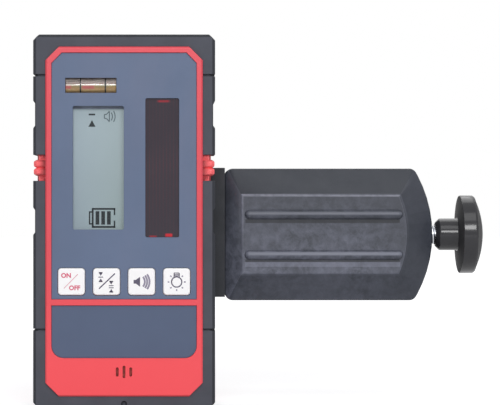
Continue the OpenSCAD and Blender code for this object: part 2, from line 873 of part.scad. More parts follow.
module key_switches()
    color(black) for (i = [0:key_count - 1])
        translate([key_x(i), 0, key_z]) {
            slab(y_switch + switch_stem_l, y_board) square(switch_w, center = true);
            rod_y(switch_stem_r, y_switch, y_switch + switch_stem_l + bite);
        }

// A key cap with softened front edges and a flange that holds it behind the front wall.
module key(i)
    color(white) translate([key_x(i), 0, key_z]) {
        hull() {
            slab(y_key, y_key_back)
                polygon(rounded(key_w - 2 * key_edge, key_w - 2 * key_edge, key_r - key_edge));
            slab(y_key + key_edge, y_key_back) polygon(rounded(key_w, key_w, key_r));
        }
        slab(y_flange, y_key_back) square(key_w + 2 * key_lap, center = true);
    }

module power_key() key(0);

module accuracy_key() key(1);

module sound_key() key(2);

module light_key() key(3);

// Sounder in its ring, behind a dust mesh.
module buzzer()
    color(black) translate([0, 0, slot_z])
        rod_y(buzzer_r, y_wall + mesh_t, y_wall + mesh_t + buzzer_t);

module buzzer_mesh()
    color([0.3, 0.3, 0.3]) translate([0, 0, slot_z]) rod_y(buzzer_r, y_wall, y_wall + mesh_t);

module contact_tab(side, y0, z0)
    block([side * (tray_in_w - contact_t) / 2 - contact_t / 2, y0, z0],
        [side * (tray_in_w - contact_t) / 2 + contact_t / 2, y0 + tab_w, board_z - boss_gap]);

// A rectangle about the bay with its lower corners cut off, to clear the housing's own corners.
module tray_outline(grow, c) {
    half = tray_in_w / 2 + grow;
    low = tray_z - grow;
    polygon([[c - half, low], [half - c, low], [half, low + c], [half, tray_z + tray_in_h + grow],
        [-half, tray_z + tray_in_h + grow], [-half, low + c]]);
}

module battery_tray()
    color(black) difference() {
        slab(y_tray - tray_wall, y_in) tray_outline(tray_wall, tray_c_out);
        slab(y_tray, y_in + over) tray_outline(0, tray_c_in);
        for (side = [-1, 1])
            block([side * (tray_in_w - contact_t) / 2 - contact_t, y_tray, tray_z + tray_in_h - over],
                [side * (tray_in_w - contact_t) / 2 + contact_t, tab_high_y + tab_w + cell_gap,
                    tray_top + over]);
    }

// Two cells side by side, pointing opposite ways.
module at_cell(i)
    translate([0, cell_y, tray_z + cell_gap + cell_d / 2 + i * (cell_d + cell_gap)])
        mirror([i, 0, 0]) translate([contact_t - tray_in_w / 2, 0, 0]) children();

module battery_cells()
    color(brass) for (i = [0, 1])
        at_cell(i) {
            rod_x(cell_d / 2, nub_l, cell_l);
            rod_x(nub_r, cell_gap / 2, nub_l + bite);
        }

// Contact plates at both ends of the tray, with tabs up to the circuit board.
module battery_contacts()
    color(steel) {
        block([-tray_in_w / 2, cell_y - contact_w / 2, tray_z + contact_low],
            [contact_t - tray_in_w / 2, cell_y + contact_w / 2, tray_z + tray_in_h - cell_gap]);
        contact_tab(-1, tab_high_y, tray_z + tray_in_h / 2);
        for (i = [0, 1])
            block([tray_in_w / 2 - contact_t, tab_high_y, tray_z + contact_low + i * (cell_d + cell_gap)],
                [tray_in_w / 2, cell_y + contact_w / 2, tray_z + i * (cell_d + cell_gap) + cell_d]);
        contact_tab(1, tab_high_y, tray_z + contact_low + cell_d + cell_gap);
        block([tray_in_w / 2 - contact_t, tab_low_y, tray_z + contact_low],
            [tray_in_w / 2, tab_high_y + bite, tray_z + cell_d]);
        contact_tab(1, tab_low_y, tray_z + contact_low);
    }

// Bent leaf springs that press on the flat ends of the cells.
module battery_springs()
    color(steel) for (i = [0, 1])
        at_cell(i) translate([cell_l + cell_gap, 0, -spring_w / 2])
            linear_extrude(spring_w) polygon([
                [spring_l, -contact_w / 2], [spring_l, contact_w / 2],
                [spring_l - spring_t, contact_w / 2], [spring_l - spring_t, spring_t - contact_w / 2],
                [spring_t, spring_t], [spring_t, contact_w / 3], [0, contact_w / 3], [0, 0],
                [spring_l - 2 * spring_t, -contact_w / 2]]);

// A door that fills the battery opening and turns on a pin along its lower edge.
module battery_door()
    color(red) difference() {
        union() {
            slab(y_in, y_back)
                pane(0, (hinge_z + door_top) / 2, tray_in_w - 2 * door_gap, door_top - hinge_z);
            translate([0, hinge_y, hinge_z])
                rod_x(knuckle_r, door_gap - tray_in_w / 2, tray_in_w / 2 - door_gap);
        }
        translate([0, hinge_y, hinge_z])
            rod_x(door_pin_r + run_gap, -tray_in_w / 2, tray_in_w / 2);
        for (i = [0:door_rib_count - 1])
            translate([0, y_back, door_top - door_rib_drop - i * door_rib_pitch])
                rod_x(door_rib_r, -door_rib_w / 2, door_rib_w / 2);
    }

module door_pad()
    color([0.25, 0.25, 0.27]) slab(y_in - pad_foam_t, y_in)
        pane(0, tray_z + tray_in_h / 2, pad_foam_w, pad_foam_h);

module door_pin()
    color(steel) translate([0, hinge_y, hinge_z])
        rod_x(door_pin_r, fit - tray_in_w / 2 - pin_end, tray_in_w / 2 + pin_end - fit);

// Threaded insert in the receiver's back, and the captive hand screw that pulls the bracket on to it.
module mount_insert()
    color(brass) translate([0, 0, clamp_z]) difference() {
        rod_y(insert_r, y_insert, y_back);
        rod_y(mount_r + run_gap, y_insert - over, y_back + over);
    }

module mount_washer()
    color(steel) translate([0, 0, clamp_z]) difference() {
        rod_y(washer_r, y_plate, y_washer);
        rod_y(mount_r + run_gap, y_plate - over, y_washer + over);
    }

module mount_screw()
    color(black) translate([0, y_washer, clamp_z]) rotate([-90, 0, 0]) {
        translate([0, 0, y_back - mount_grip - y_washer])
            cylinder(h = mount_grip + y_washer - y_back + bite, r = mount_r);
        cylinder(h = neck_l + bite, r = neck_r);
        difference() {
            rotate_extrude() polygon(concat([[0, neck_l]],
                arc([mount_head_r - head_round, neck_l + head_round], head_round, -90, 0),
                arc([mount_head_r - head_round, neck_l + mount_head_l - head_round], head_round, 0, 90),
                [[0, neck_l + mount_head_l]]));
            for (i = [0:lobe_count - 1])
                rotate([0, 0, i * 360 / lobe_count]) translate([mount_head_r + lobe_out, 0, 0])
                    cylinder(h = neck_l + mount_head_l + over, r = lobe_r);
        }
    }

// Two pins keep the bracket from turning on the receiver.
module at_locating_pins()
    for (side = [-1, 1])
        translate([0, 0, clamp_z + side * locate_pitch / 2]) children();

// The plate behind the receiver with the fixed jaw, its gussets and the locating pins.
module mount_bracket()
    color(black) difference() {
        union() {
            slab(y_back, y_plate) hull() {
                translate([0, clamp_z]) circle(r = tongue_r);
                pane(clamp_x - tongue_root / 2, bracket_z, tongue_root, bracket_h);
            }
            bar(clamp_x - fixed_jaw_t, clamp_x) jaw_outline(y_back, bracket_h / 2);
            gussets(clamp_x - fixed_jaw_t + bite, -1, y_plate - bite, bracket_z);
            at_locating_pins() rod_y(locate_r, y_back - locate_l, y_back + bite);
        }
        translate([0, 0, clamp_z]) rod_y(mount_r + mount_hole_gap, y_back - over, y_plate + over);
        at_bracket_screws() {
            rod_x(bracket_screw_r + fit, -over, fixed_jaw_t + over);
            rod_x(bracket_head_r + fit, -over, bracket_head_h + fit);
        }
    }

// A jaw's outline in Y and Z from a given depth to the tip, with round tip corners.
module jaw_outline(y0, half)
    translate([0, bracket_z]) polygon(concat([[y0, -half]],
        arc([y_jaw - jaw_round, jaw_round - half], jaw_round, -90, 0),
        arc([y_jaw - jaw_round, half - jaw_round], jaw_round, 0, 90),
        [[y0, half]]));

// A pair of gussets that lean on a jaw from one side.
module gussets(x, dir, y0, z)
    for (side = [-1, 1])
        translate([x, 0, z + side * gusset_pitch / 2 - gusset_t / 2]) linear_extrude(gusset_t)
            polygon([[0, y0], [dir * gusset_l, y0], [0, y0 + (y_jaw - y0) * gusset_h_share]]);

// Two screws join the fixed jaw's root to the clamp housing.
module at_bracket_screws()
    for (side = [-1, 1])
        translate([clamp_x - fixed_jaw_t, (y_plate + y_clamp_back) / 2,
            clamp_z + side * bracket_screw_pitch / 2]) children();

module bracket_screws()
    color(steel) at_bracket_screws() difference() {
        union() {
            rod_x(bracket_screw_r, 0, bracket_screw_l);
            rod_x(bracket_head_r, 0, bracket_head_h);
        }
        translate([socket_d, 0, 0]) rotate([0, -90, 0])
            cylinder(h = socket_d + over, r = socket_r, $fn = hex_sides);
    }

// A rubber pad with grooves across its face, between the face at x and its back, drawn in X and Y.
module jaw_pad(x, dir)
    color(rubber) translate([x, 0, clamp_z - clamp_h / 2 + pad_end]) linear_extrude(clamp_h - 2 * pad_end) {
        y0 = y_clamp_back + pad_margin;
        pitch = (jaw_reach - pad_margin - jaw_round) / pad_teeth;
        polygon(concat([[0, y0]],
            [for (i = [0:pad_teeth - 1], corner = [0, 1, 2])
                [dir * (pad_t - (corner == 2 ? tooth_d : 0)), y0 + (i + tooth_shares[corner]) * pitch]],
            [[dir * pad_t, y0 + pad_teeth * pitch], [0, y0 + pad_teeth * pitch]]));
    }

module fixed_jaw_pad() jaw_pad(clamp_x, 1);

module sliding_jaw_pad() jaw_pad(jaw_x, -1);

// Outlines of the clamp housing and of its raised face, drawn in by an inset.
module clamp_outline(inset)
    intersection() {
        pane((clamp_x + clamp_end) / 2 + inset, clamp_z, clamp_l, clamp_h - 2 * inset);
        translate([arc_x, clamp_z]) circle(r = end_r - inset);
    }

module face_outline(inset)
    intersection() {
        pane((clamp_x + clamp_end) / 2 + bevel_side + inset, clamp_z,
            clamp_l, clamp_h - 2 * (bevel_v + inset));
        translate([arc_x, clamp_z]) circle(r = end_r - bevel_end - inset);
    }

// The channel that hides the clamp screw: bevelled front, two ribs, round end, and a slot along the back.
module clamp_housing()
    color(black) difference() {
        union() {
            difference() {
                hull() {
                    slab(y_rim, y_clamp_back)
                        offset(r = end_round) offset(delta = -end_round) clamp_outline(0);
                    slab(y_face, y_rim) face_outline(0);
                }
                hull() {
                    slab(y_rim + clamp_wall, y_clamp_back - track_t) clamp_outline(clamp_wall);
                    slab(y_face + clamp_wall, y_rim + clamp_wall) face_outline(clamp_wall * face_share);
                }
                slab(y_clamp_back - track_t - over, y_clamp_back + over)
                    clamp_outline(clamp_wall + track_w);
            }
            for (side = [-1, 1])
                translate([0, y_face + rib_w / 2 - rib_proud, clamp_z + side * rib_pitch / 2]) {
                    rod_x(rib_w / 2, rib_x0, rib_x1);
                    for (x = [rib_x0, rib_x1])
                        translate([x, 0, 0]) sphere(r = rib_w / 2);
                }
            translate([0, screw_y, clamp_z]) rod_x(nut_r + nut_wall, nut_x, clamp_end - clamp_wall + bite);
            at_bracket_screws() rod_x(bracket_boss_r, fixed_jaw_t + clamp_wall - bite,
                fixed_jaw_t + clamp_wall + bracket_boss_l);
        }
        translate([0, screw_y, clamp_z]) {
            rod_x(nut_r + fit, nut_x - over, clamp_end - nut_cover);
            rod_x(screw_r + screw_clear, nut_x, clamp_end + over);
        }
        at_bracket_screws() rod_x(bracket_screw_r + fit, 0, bracket_screw_l + bite);
    }

// Threaded bush, set from inside into the housing's round end.
module clamp_nut()
    color(brass) translate([0, screw_y, clamp_z]) difference() {
        union() {
            rod_x(nut_r, nut_x - nut_lip_l + bite, clamp_end - nut_cover - fit);
            rod_x(nut_lip_r, nut_x - nut_lip_l, nut_x);
        }
        rod_x(screw_r + run_gap, nut_x - nut_lip_l - over, clamp_end + over);
    }

// The carriage that runs in the channel and the jaw that stands out behind it.
module sliding_jaw()
    color(black) difference() {
        union() {
            block([jaw_x, y_track - carriage_flange_t, clamp_z - carriage_half],
                [carriage_end, y_track, clamp_z + carriage_half]);
            block([jaw_x, y_face + clamp_wall + carriage_lift, clamp_z - carriage_core_w / 2],
                [carriage_end, y_track, clamp_z + carriage_core_w / 2]);
            block([jaw_x, y_track - bite, clamp_z - stem_half],
                [carriage_end, y_clamp_back + slide_gap + bite, clamp_z + stem_half]);
            bar(jaw_x, jaw_x + sliding_jaw_t)
                jaw_outline(y_clamp_back + slide_gap, bracket_h / 2 - jaw_trim);
            gussets(jaw_x + sliding_jaw_t - bite, 1, y_clamp_back + slide_gap, clamp_z);
        }
        block([pocket_x, y_face, clamp_z - pocket_w / 2],
            [pocket_x + pocket_l, screw_y + pocket_w / 2, clamp_z + pocket_w / 2]);
        translate([0, screw_y, clamp_z]) rod_x(tip_r + run_gap, pocket_x, carriage_end + over);
    }

// Clamp screw: a thread as thick as the nut's bore and a thinner tip that turns in the carriage.
module clamp_screw()
    color(steel) translate([0, screw_y, clamp_z]) difference() {
        union() {
            rod_x(screw_r, carriage_end + shoulder_gap, knob_x + knob_depth);
            rod_x(tip_r, clip_x - tip_end, carriage_end + shoulder_gap + bite);
        }
        difference() {
            rod_x(screw_r, clip_x, clip_x + clip_t);
            rod_x(tip_r - clip_slot, clip_x - over, clip_x + clip_t + over);
        }
    }

// Retaining ring in the groove near the screw's tip.
module screw_clip()
    color(steel) translate([0, screw_y, clamp_z]) difference() {
        rod_x(clip_r, clip_x + fit, clip_x + clip_t - fit);
        rod_x(tip_r - clip_slot + fit, clip_x - over, clip_x + clip_t + over);
        block([clip_x - over, -clip_r, -tip_r + clip_slot], [clip_x + clip_t + over, 0, tip_r - clip_slot]);
    }

// Smooth round knob: a tapered hub, a thick rim with round edges and a domed outer face.
module clamp_knob()
    color(black) translate([knob_x, screw_y, clamp_z]) rotate([0, 90, 0]) difference() {
        rotate_extrude() polygon(concat(
            [[0, 0], [hub_r - hub_chamfer, 0], [hub_r, hub_chamfer]],
            arc([hub_r + hub_round, hub_l - hub_round], hub_round, 180, 90),
            arc([knob_r - knob_in_round, hub_l + knob_in_round], knob_in_round, -90, 0),
            arc([knob_r - knob_round, hub_l + knob_rim - knob_round], knob_round, 0, rim_turn),
            arc([0, hub_l + knob_rim + knob_dome - dome_r], dome_r,
                90 - asin((knob_r - knob_round) / dome_r), 90)));
        translate([0, 0, -over]) cylinder(h = knob_depth + over, r = screw_r + fit);
    }

front_housing();
rear_housing();
housing_seal();
housing_screws();
top_bumper();
bottom_bumper();
left_upper_bumper();
left_lower_bumper();
right_upper_bumper();
right_lower_bumper();
upper_panel();
lower_panel();
lcd_lens();
lcd_glass();
lcd_backlight();
sensor_filter();
sensor_board();
sensor_spacers();
photodiodes();
vial_tube();
vial_plugs();
vial_fluid();
vial_lines();
main_board();
board_screws();
board_chips();
key_switches();
power_key();
accuracy_key();
sound_key();
light_key();
buzzer();
buzzer_mesh();
battery_tray();
battery_cells();
battery_contacts();
battery_springs();
battery_door();
door_pad();
door_pin();
mount_insert();
mount_washer();
mount_screw();
mount_bracket();
bracket_screws();
fixed_jaw_pad();
clamp_housing();
clamp_nut();
sliding_jaw();
sliding_jaw_pad();
clamp_screw();
screw_clip();
clamp_knob();
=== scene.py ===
import math
import bmesh
import bpy
from mathutils import Matrix, Vector


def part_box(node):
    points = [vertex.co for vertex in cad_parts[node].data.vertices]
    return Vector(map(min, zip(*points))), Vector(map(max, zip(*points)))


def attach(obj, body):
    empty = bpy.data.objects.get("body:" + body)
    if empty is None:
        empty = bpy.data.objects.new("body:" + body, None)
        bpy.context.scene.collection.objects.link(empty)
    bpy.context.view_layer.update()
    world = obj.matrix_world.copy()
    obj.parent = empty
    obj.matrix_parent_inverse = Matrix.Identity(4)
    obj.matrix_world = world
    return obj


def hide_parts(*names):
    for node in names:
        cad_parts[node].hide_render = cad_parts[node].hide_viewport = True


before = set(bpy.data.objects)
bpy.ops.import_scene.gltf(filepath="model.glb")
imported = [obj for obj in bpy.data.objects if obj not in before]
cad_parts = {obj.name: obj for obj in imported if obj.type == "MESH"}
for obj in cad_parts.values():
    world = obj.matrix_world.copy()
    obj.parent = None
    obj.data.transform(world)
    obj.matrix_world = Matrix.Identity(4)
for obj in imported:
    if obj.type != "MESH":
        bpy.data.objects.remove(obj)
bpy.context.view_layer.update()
scene = bpy.context.scene
scene.view_settings.view_transform = "Standard"
mm = 0.001


# camera

cameraView = {"place": (20.0 * mm, -863.5 * mm, 82.6 * mm), "lens": 153.0, "sensor": 36, "shift": 0.152,
              "clip": (0.01, 20)}


def makeCamera(view):
    data = bpy.data.cameras.new("photoCamera")
    data.lens, data.sensor_width, data.shift_x = view["lens"], view["sensor"], view["shift"]
    data.clip_start, data.clip_end = view["clip"]
    camera = bpy.data.objects.new("photoCamera", data)
    camera.location = view["place"]
    camera.rotation_euler = (math.pi / 2, 0, 0)
    scene.collection.objects.link(camera)
    scene.camera = camera


makeCamera(cameraView)
print("camera at", [round(x / mm, 1) for x in cameraView["place"]], "mm")


# shader pieces

def srgb(red, green, blue):
    # a colour as it looks on screen, as linear values
    def linear(value):
        value /= 255
        return value / 12.92 if value <= 0.04045 else ((value + 0.055) / 1.055) ** 2.4
    return linear(red), linear(green), linear(blue), 1.0


def feed(tree, node, values):
    # links sockets and sets the rest; a colour of three numbers is one as it looks on screen
    for key, value in values.items():
        socket = node.inputs[key]
        if isinstance(value, bpy.types.NodeSocket):
            tree.links.new(value, socket)
        elif socket.type == "RGBA" and len(value) == 3:
            socket.default_value = srgb(*value)
        else:
            socket.default_value = value


def addNode(tree, kind, values=None, **settings):
    made = tree.nodes.new("ShaderNode" + kind)
    for key, value in settings.items():
        setattr(made, key, value)
    feed(tree, made, values or {})
    return made


def startGroup(name, inputs, outputs):
    # inputs without a value are vectors
    group = bpy.data.node_groups.new(name, "ShaderNodeTree")
    for label, value in inputs.items():
        kind = "NodeSocketVector" if value is None else "NodeSocketFloat"
        socket = group.interface.new_socket(label, in_out="INPUT", socket_type=kind)
        if value is not None:
            socket.default_value = value
    for label in outputs:
        group.interface.new_socket(label, in_out="OUTPUT", socket_type="NodeSocketFloat")
    return group, group.nodes.new("NodeGroupInput").outputs, group.nodes.new("NodeGroupOutput")


def mapped(tree, source, low, high, toLow=0.0, toHigh=1.0):
    return addNode(tree, "MapRange", {"Value": source, "From Min": low, "From Max": high,
                                      "To Min": toLow, "To Max": toHigh}).outputs["Result"]


def counted(tree, how, first, second=0.0):
    return addNode(tree, "Math", {0: first, 1: second}, operation=how).outputs[0]


def times(tree, first, second):
    return counted(tree, "MULTIPLY", first, second)


def away(tree, first, second):
    return counted(tree, "ABSOLUTE", counted(tree, "SUBTRACT", first, second))


def apart(tree, vector):
    return addNode(tree, "SeparateXYZ", {"Vector": vector}).outputs


def mixedColor(tree, share, first, second):
    return addNode(tree, "Mix", {0: share, 6: first, 7: second}, data_type="RGBA").outputs[2]


def makeMouldedGrain():
    # the fine skin of a moulded surface, and its slow changes of shade
    group, given, end = startGroup(
        "mouldedGrain", {"Vector": None, "Fine": 2500.0, "Coarse": 900.0, "Slow": 30.0}, ("Height", "Shade"))
    place = given["Vector"]
    fine = addNode(group, "TexNoise", {"Vector": place, "Scale": given["Fine"], "Detail": 2.0})
    coarse = addNode(group, "TexVoronoi", {"Vector": place, "Scale": given["Coarse"]})
    slow = addNode(group, "TexNoise", {"Vector": place, "Scale": given["Slow"], "Detail": 5.0, "Roughness": 0.6})
    feed(group, end, {"Height": counted(group, "ADD", fine.outputs["Fac"], coarse.outputs["Distance"]),
                      "Shade": mapped(group, slow.outputs["Fac"], 0.3, 0.7)})
    return group


patchLooks = {
    "rubbedEdges": {"noise": {"Detail": 4.0}, "span": (0.3, 0.62, 0.55, 1.0)},
    "handledSmudge": {"noise": {"Detail": 6.0, "Roughness": 0.65, "Distortion": 0.4}, "span": (0.48, 0.72),
                      "warp": {"Rotation": (0.0, 0.6, 0.0), "Scale": (1.0, 1.0, 0.45)}},
    "scuffedPatches": {"noise": {"Detail": 8.0, "Roughness": 0.72, "Distortion": 0.25}, "span": (0.4, 0.68)}}


def makePatches(name, look):
    # uneven patches: worn edges that also carry a painted highlight, smears of hands and dust, small scuffs
    group, given, end = startGroup(name, {"Vector": None, "Edge": 1.0, "Scale": 100.0, "Amount": 1.0}, ("Mask",))
    place = addNode(group, "Mapping", {"Vector": given["Vector"], **look.get("warp", {})}).outputs["Vector"]
    noise = addNode(group, "TexNoise", {"Vector": place, "Scale": given["Scale"], **look["noise"]})
    patch = mapped(group, noise.outputs["Fac"], *look["span"])
    feed(group, end, {"Mask": times(group, times(group, given["Edge"], given["Amount"]), patch)})
    return group


def makeBoxMask():
    # 1 inside a box, with a narrow soft edge
    group, given, end = startGroup(
        "boxMask", {"Vector": None, "Middle": None, "Half": None, "Soft": 0.2 * mm}, ("Mask",))
    off = given["Vector"]
    for how, other in (("SUBTRACT", "Middle"), ("ABSOLUTE", None), ("SUBTRACT", "Half")):
        values = {0: off, 1: given[other]} if other else {0: off}
        off = addNode(group, "VectorMath", values, operation=how).outputs[0]
    x, y, z = apart(group, off)
    out = counted(group, "MAXIMUM", counted(group, "MAXIMUM", x, y), z)
    inside = counted(group, "DIVIDE", times(group, out, -1.0), given["Soft"])
    feed(group, end, {"Mask": mapped(group, inside, 0.0, 1.0)})
    return group


mouldedGrain = makeMouldedGrain()
rubbedEdges, handledSmudge, scuffedPatches = [makePatches(name, look) for name, look in patchLooks.items()]
boxMask = makeBoxMask()


def placed(tree, group, place, values):
    return addNode(tree, "Group", {"Vector": place, **values}, node_tree=group).outputs


def grained(tree, place, scales):
    return placed(tree, mouldedGrain, place, dict(zip(("Fine", "Coarse", "Slow"), scales)))


def shaded(tree, grain, span):
    return mapped(tree, grain["Shade"], 0.0, 1.0, *span)


def smeared(tree, place, scale, span):
    smear = placed(tree, handledSmudge, place, {"Scale": scale, "Amount": 1.0})
    return mapped(tree, smear["Mask"], 0.0, 1.0, *span)


def bumped(tree, height, strength, depth):
    values = {"Height": height, "Strength": strength, "Distance": depth * mm}
    return addNode(tree, "Bump", values).outputs["Normal"]


def attribute(tree, name):
    return addNode(tree, "Attribute", attribute_name=name).outputs["Fac"]


def faded(tree, place, fade):
    # full at the lower end, faint at the upper end, and fainter towards the far end
    x, y, z = apart(tree, place)
    share = mapped(tree, z, fade["low"] * mm, fade["high"] * mm, 1.0, fade["least"])
    if "end" in fade:
        start, stop, least = fade["end"]
        share = times(tree, share, mapped(tree, x, start * mm, stop * mm, 1.0, least))
    return share


finishes = {}


def startMaterial(name):
    material = finishes[name] = bpy.data.materials.new(name)
    material.use_nodes = True
    tree = material.node_tree
    return tree, tree.nodes["Principled BSDF"], addNode(tree, "TexCoord").outputs["Object"]


def makeMoulded(name, look):
    tree, shader, place = startMaterial(name)
    grain = grained(tree, place, look["grain"])
    color = mixedColor(tree, grain["Shade"], *look["shades"])
    if "lowColor" in look:
        color = mixedColor(tree, faded(tree, place, look["lowFade"]), color, look["lowColor"])
    for key, group in (("smudge", handledSmudge), ("mottle", scuffedPatches)):
        if key in look:
            pale, scale, amount = look[key]
            mask = placed(tree, group, place, {"Scale": scale, "Amount": amount})["Mask"]
            if "fade" in look:
                mask = times(tree, mask, faded(tree, place, look["fade"]))
            color = mixedColor(tree, mask, color, pale)
    for middle, half, soft, paint in look.get("boxes", ()):
        inside = placed(tree, boxMask, place, {
            "Middle": [v * mm for v in middle], "Half": [v * mm for v in half], "Soft": soft * mm})
        color = mixedColor(tree, inside["Mask"], color, paint)
    # painted shade on the slanted faces
    if "band" in look:
        paint, amount = look["band"]
        color = mixedColor(tree, times(tree, attribute(tree, "paintedSlantShade"), amount), color, paint)
    # edge wear, which also paints a highlight along the rounded edges
    if "rubbed" in look:
        pale, scale, amount = look["rubbed"]
        wornAndLit = placed(tree, rubbedEdges, place, {
            "Edge": attribute(tree, "edgeWearAndHighlight"), "Scale": scale, "Amount": amount})
        color = mixedColor(tree, wornAndLit["Mask"], color, pale)
    feed(tree, shader, {
        "Base Color": color, "Roughness": shaded(tree, grain, look["rough"]),
        "Normal": bumped(tree, grain["Height"], *look["bump"]), "Specular IOR Level": look.get("shine", 0.5)})


# finishes: grain is its fine, coarse and slow scales, bump a strength and a depth in mm
# patches are a colour, a scale and an amount; boxes a middle, a half size, a soft edge and a colour, in mm

filmFinish = {"grain": (5200.0, 2600.0, 22.0), "bump": (0.06, 0.01), "shine": 0.3}
markFinish = {"rough": (0.5, 0.6), "grain": (2500.0, 900.0, 300.0), "bump": (0.05, 0.03)}
displayFinish = {"rough": (0.35, 0.45), "grain": (2500.0, 900.0, 300.0), "bump": (0.03, 0.03), "shine": 0.2}
mouldedLooks = {
    "redPlastic": {
        "shades": ((228, 78, 90), (222, 73, 85)), "rough": (0.36, 0.44), "grain": (3500.0, 1600.0, 60.0),
        "bump": (0.1, 0.02), "lowColor": (250, 82, 90), "lowFade": {"low": 18.0, "high": 60.0, "least": 0.0},
        "boxes": [
            ((34.7, 0.0, 96.5), (3.2, 30.0, 6.5), 0.2, (255, 108, 112)),
            ((-34.7, 0.0, 96.5), (3.2, 30.0, 6.5), 0.2, (255, 108, 112)),
            ((-10.3, -9.9, 96.5), (10.9, 2.95, 25.3), 0.2, (92, 96, 108)),
            ((15.3, -9.9, 96.5), (7.4, 2.95, 28.5), 0.2, (52, 46, 54)),
            ((-13.3, -9.0, 129.5), (12.0, 4.1, 4.5), 0.2, (112, 92, 84))],
        "rubbed": ((240, 96, 106), 350.0, 0.35), "shine": 0.4},
    "bumperRubber": {
        "shades": ((80, 82, 91), (74, 76, 84)), "rough": (0.62, 0.74), "grain": (4200.0, 2100.0, 70.0),
        "bump": (0.22, 0.03), "band": ((46, 48, 53), 0.95), "rubbed": ((92, 94, 104), 350.0, 0.25), "shine": 0.22},
    "padRubber": {
        "shades": ((44, 44, 48), (36, 36, 40)), "rough": (0.75, 0.88), "grain": (2600.0, 1300.0, 30.0),
        "bump": (0.35, 0.05), "rubbed": ((66, 66, 70), 350.0, 0.5), "shine": 0.25},
    "upperPanelFilm": {
        "shades": ((98, 113, 141), (92, 106, 132)), "rough": (0.42, 0.5), "smudge": ((112, 116, 138), 22.0, 0.4),
        **filmFinish},
    "lowerPanelFilm": {"shades": ((84, 97, 123), (79, 91, 116)), "rough": (0.44, 0.52), **filmFinish},
    "clampPlastic": {
        "shades": ((67, 70, 79), (58, 61, 69)), "rough": (0.36, 0.46), "grain": (2200.0, 1000.0, 120.0),
        "bump": (0.32, 0.05), "mottle": ((112, 115, 130), 230.0, 1.0), "smudge": ((118, 121, 136), 26.0, 0.75),
        "fade": {"low": 54.0, "high": 86.0, "least": 0.2, "end": (98.0, 113.0, 0.45)},
        # painted shadows under the ribs, a painted highlight below the lower rib, then painted highlights on the
        # ribs' upper walls
        "boxes": [  # shade under the ribs, then their light crests
            ((81.0, 9.05, 74.95), (31.9, 0.45, 1.0), 0.5, (30, 32, 37)),
            ((81.0, 9.05, 58.65), (31.9, 0.36, 0.7), 0.4, (30, 32, 37)),
            ((81.0, 9.05, 57.2), (32.0, 0.2, 1.1), 0.5, (140, 143, 160)),
            ((81.0, 7.8, 78.1), (34.4, 0.6, 0.75), 0.3, (96, 99, 110)),
            ((81.0, 7.8, 61.6), (34.4, 0.6, 0.85), 0.3, (112, 115, 128))],
        "band": ((44, 48, 56), 1.0), "rubbed": ((126, 128, 143), 420.0, 0.8), "shine": 0.32},
    # painted shade: a darker tone of the clamp's plastic, for the bracket strip that lies in the receiver's shade
    "bracketPlastic": {
        "shades": ((44, 46, 52), (38, 40, 45)), "rough": (0.42, 0.52), "grain": (2200.0, 1000.0, 120.0),
        "bump": (0.3, 0.05), "rubbed": ((88, 90, 100), 420.0, 0.4), "shine": 0.25},
    "blackPlastic": {
        "shades": ((46, 46, 50), (38, 38, 42)), "rough": (0.42, 0.56), "grain": (2600.0, 1300.0, 30.0),
        "bump": (0.2, 0.03), "rubbed": ((84, 84, 90), 350.0, 0.5)},
    "whitePlastic": {
        "shades": ((254, 254, 254), (252, 251, 252)), "rough": (0.36, 0.44), "grain": (3500.0, 1800.0, 120.0),
        "bump": (0.05, 0.01)},
    "boardGreen": {
        "shades": ((24, 96, 58), (18, 82, 50)), "rough": (0.3, 0.42), "grain": (1500.0, 700.0, 400.0),
        "bump": (0.1, 0.03)},
    "darkChip": {
        "shades": ((34, 32, 36), (27, 26, 29)), "rough": (0.3, 0.45), "grain": (3000.0, 900.0, 30.0),
        "bump": (0.15, 0.03)},
    "dustMesh": {
        "shades": ((150, 66, 58), (104, 44, 40)), "rough": (0.8, 0.9), "grain": (5000.0, 3800.0, 900.0),
        "bump": (0.8, 0.06)},
    "softFoam": {
        "shades": ((58, 58, 62), (46, 46, 50)), "rough": (0.88, 0.96), "grain": (1800.0, 1500.0, 30.0),
        "bump": (0.9, 0.1)},
    "markGrey": {"shades": ((88, 82, 104), (78, 72, 92)), **markFinish},
    "markPale": {"shades": ((150, 144, 164), (136, 130, 150)), **markFinish},
    "markRed": {"shades": ((216, 92, 122), (208, 82, 112)), **markFinish},
    "markRose": {"shades": ((226, 172, 182), (214, 158, 170)), **markFinish},
    "displayDark": {"shades": ((28, 34, 38), (22, 28, 32)), **displayFinish},
    "displayFaint": {"shades": ((92, 106, 112), (84, 98, 104)), **displayFinish},
    "gasketDark": {
        "shades": ((138, 150, 166), (122, 128, 142)), "rough": (0.7, 0.8), "grain": (2500.0, 900.0, 260.0),
        "bump": (0.2, 0.03)}}

# the inside colour is painted shade: a darker tone of the same plastic on the clamp side and, in part, on the dome
knobFinish = {
    "shades": ((44, 44, 48), (38, 38, 42)), "inside": (28, 28, 31), "gloss": (0.12, 0.2), "dull": 0.75,
    "shine": 0.4, "grain": (1800.0, 700.0, 90.0), "smear": 90.0, "bump": (0.03, 0.01)}


def makeKnobPlastic(look):
    # glossy outside; dull and painted darker, as painted shade, on the side that faces the clamp and in part on
    # the dome
    tree, shader, place = startMaterial("knobPlastic")
    grain = grained(tree, place, look["grain"])
    inside = attribute(tree, "innerSide")
    gloss = smeared(tree, place, look["smear"], look["gloss"])
    color = mixedColor(tree, grain["Shade"], *look["shades"])
    feed(tree, shader, {
        "Base Color": mixedColor(tree, inside, color, look["inside"]),
        "Roughness": counted(tree, "MAXIMUM", gloss, times(tree, inside, look["dull"])),
        "Normal": bumped(tree, grain["Height"], *look["bump"]), "Specular IOR Level": look["shine"]})


makeKnobPlastic(knobFinish)

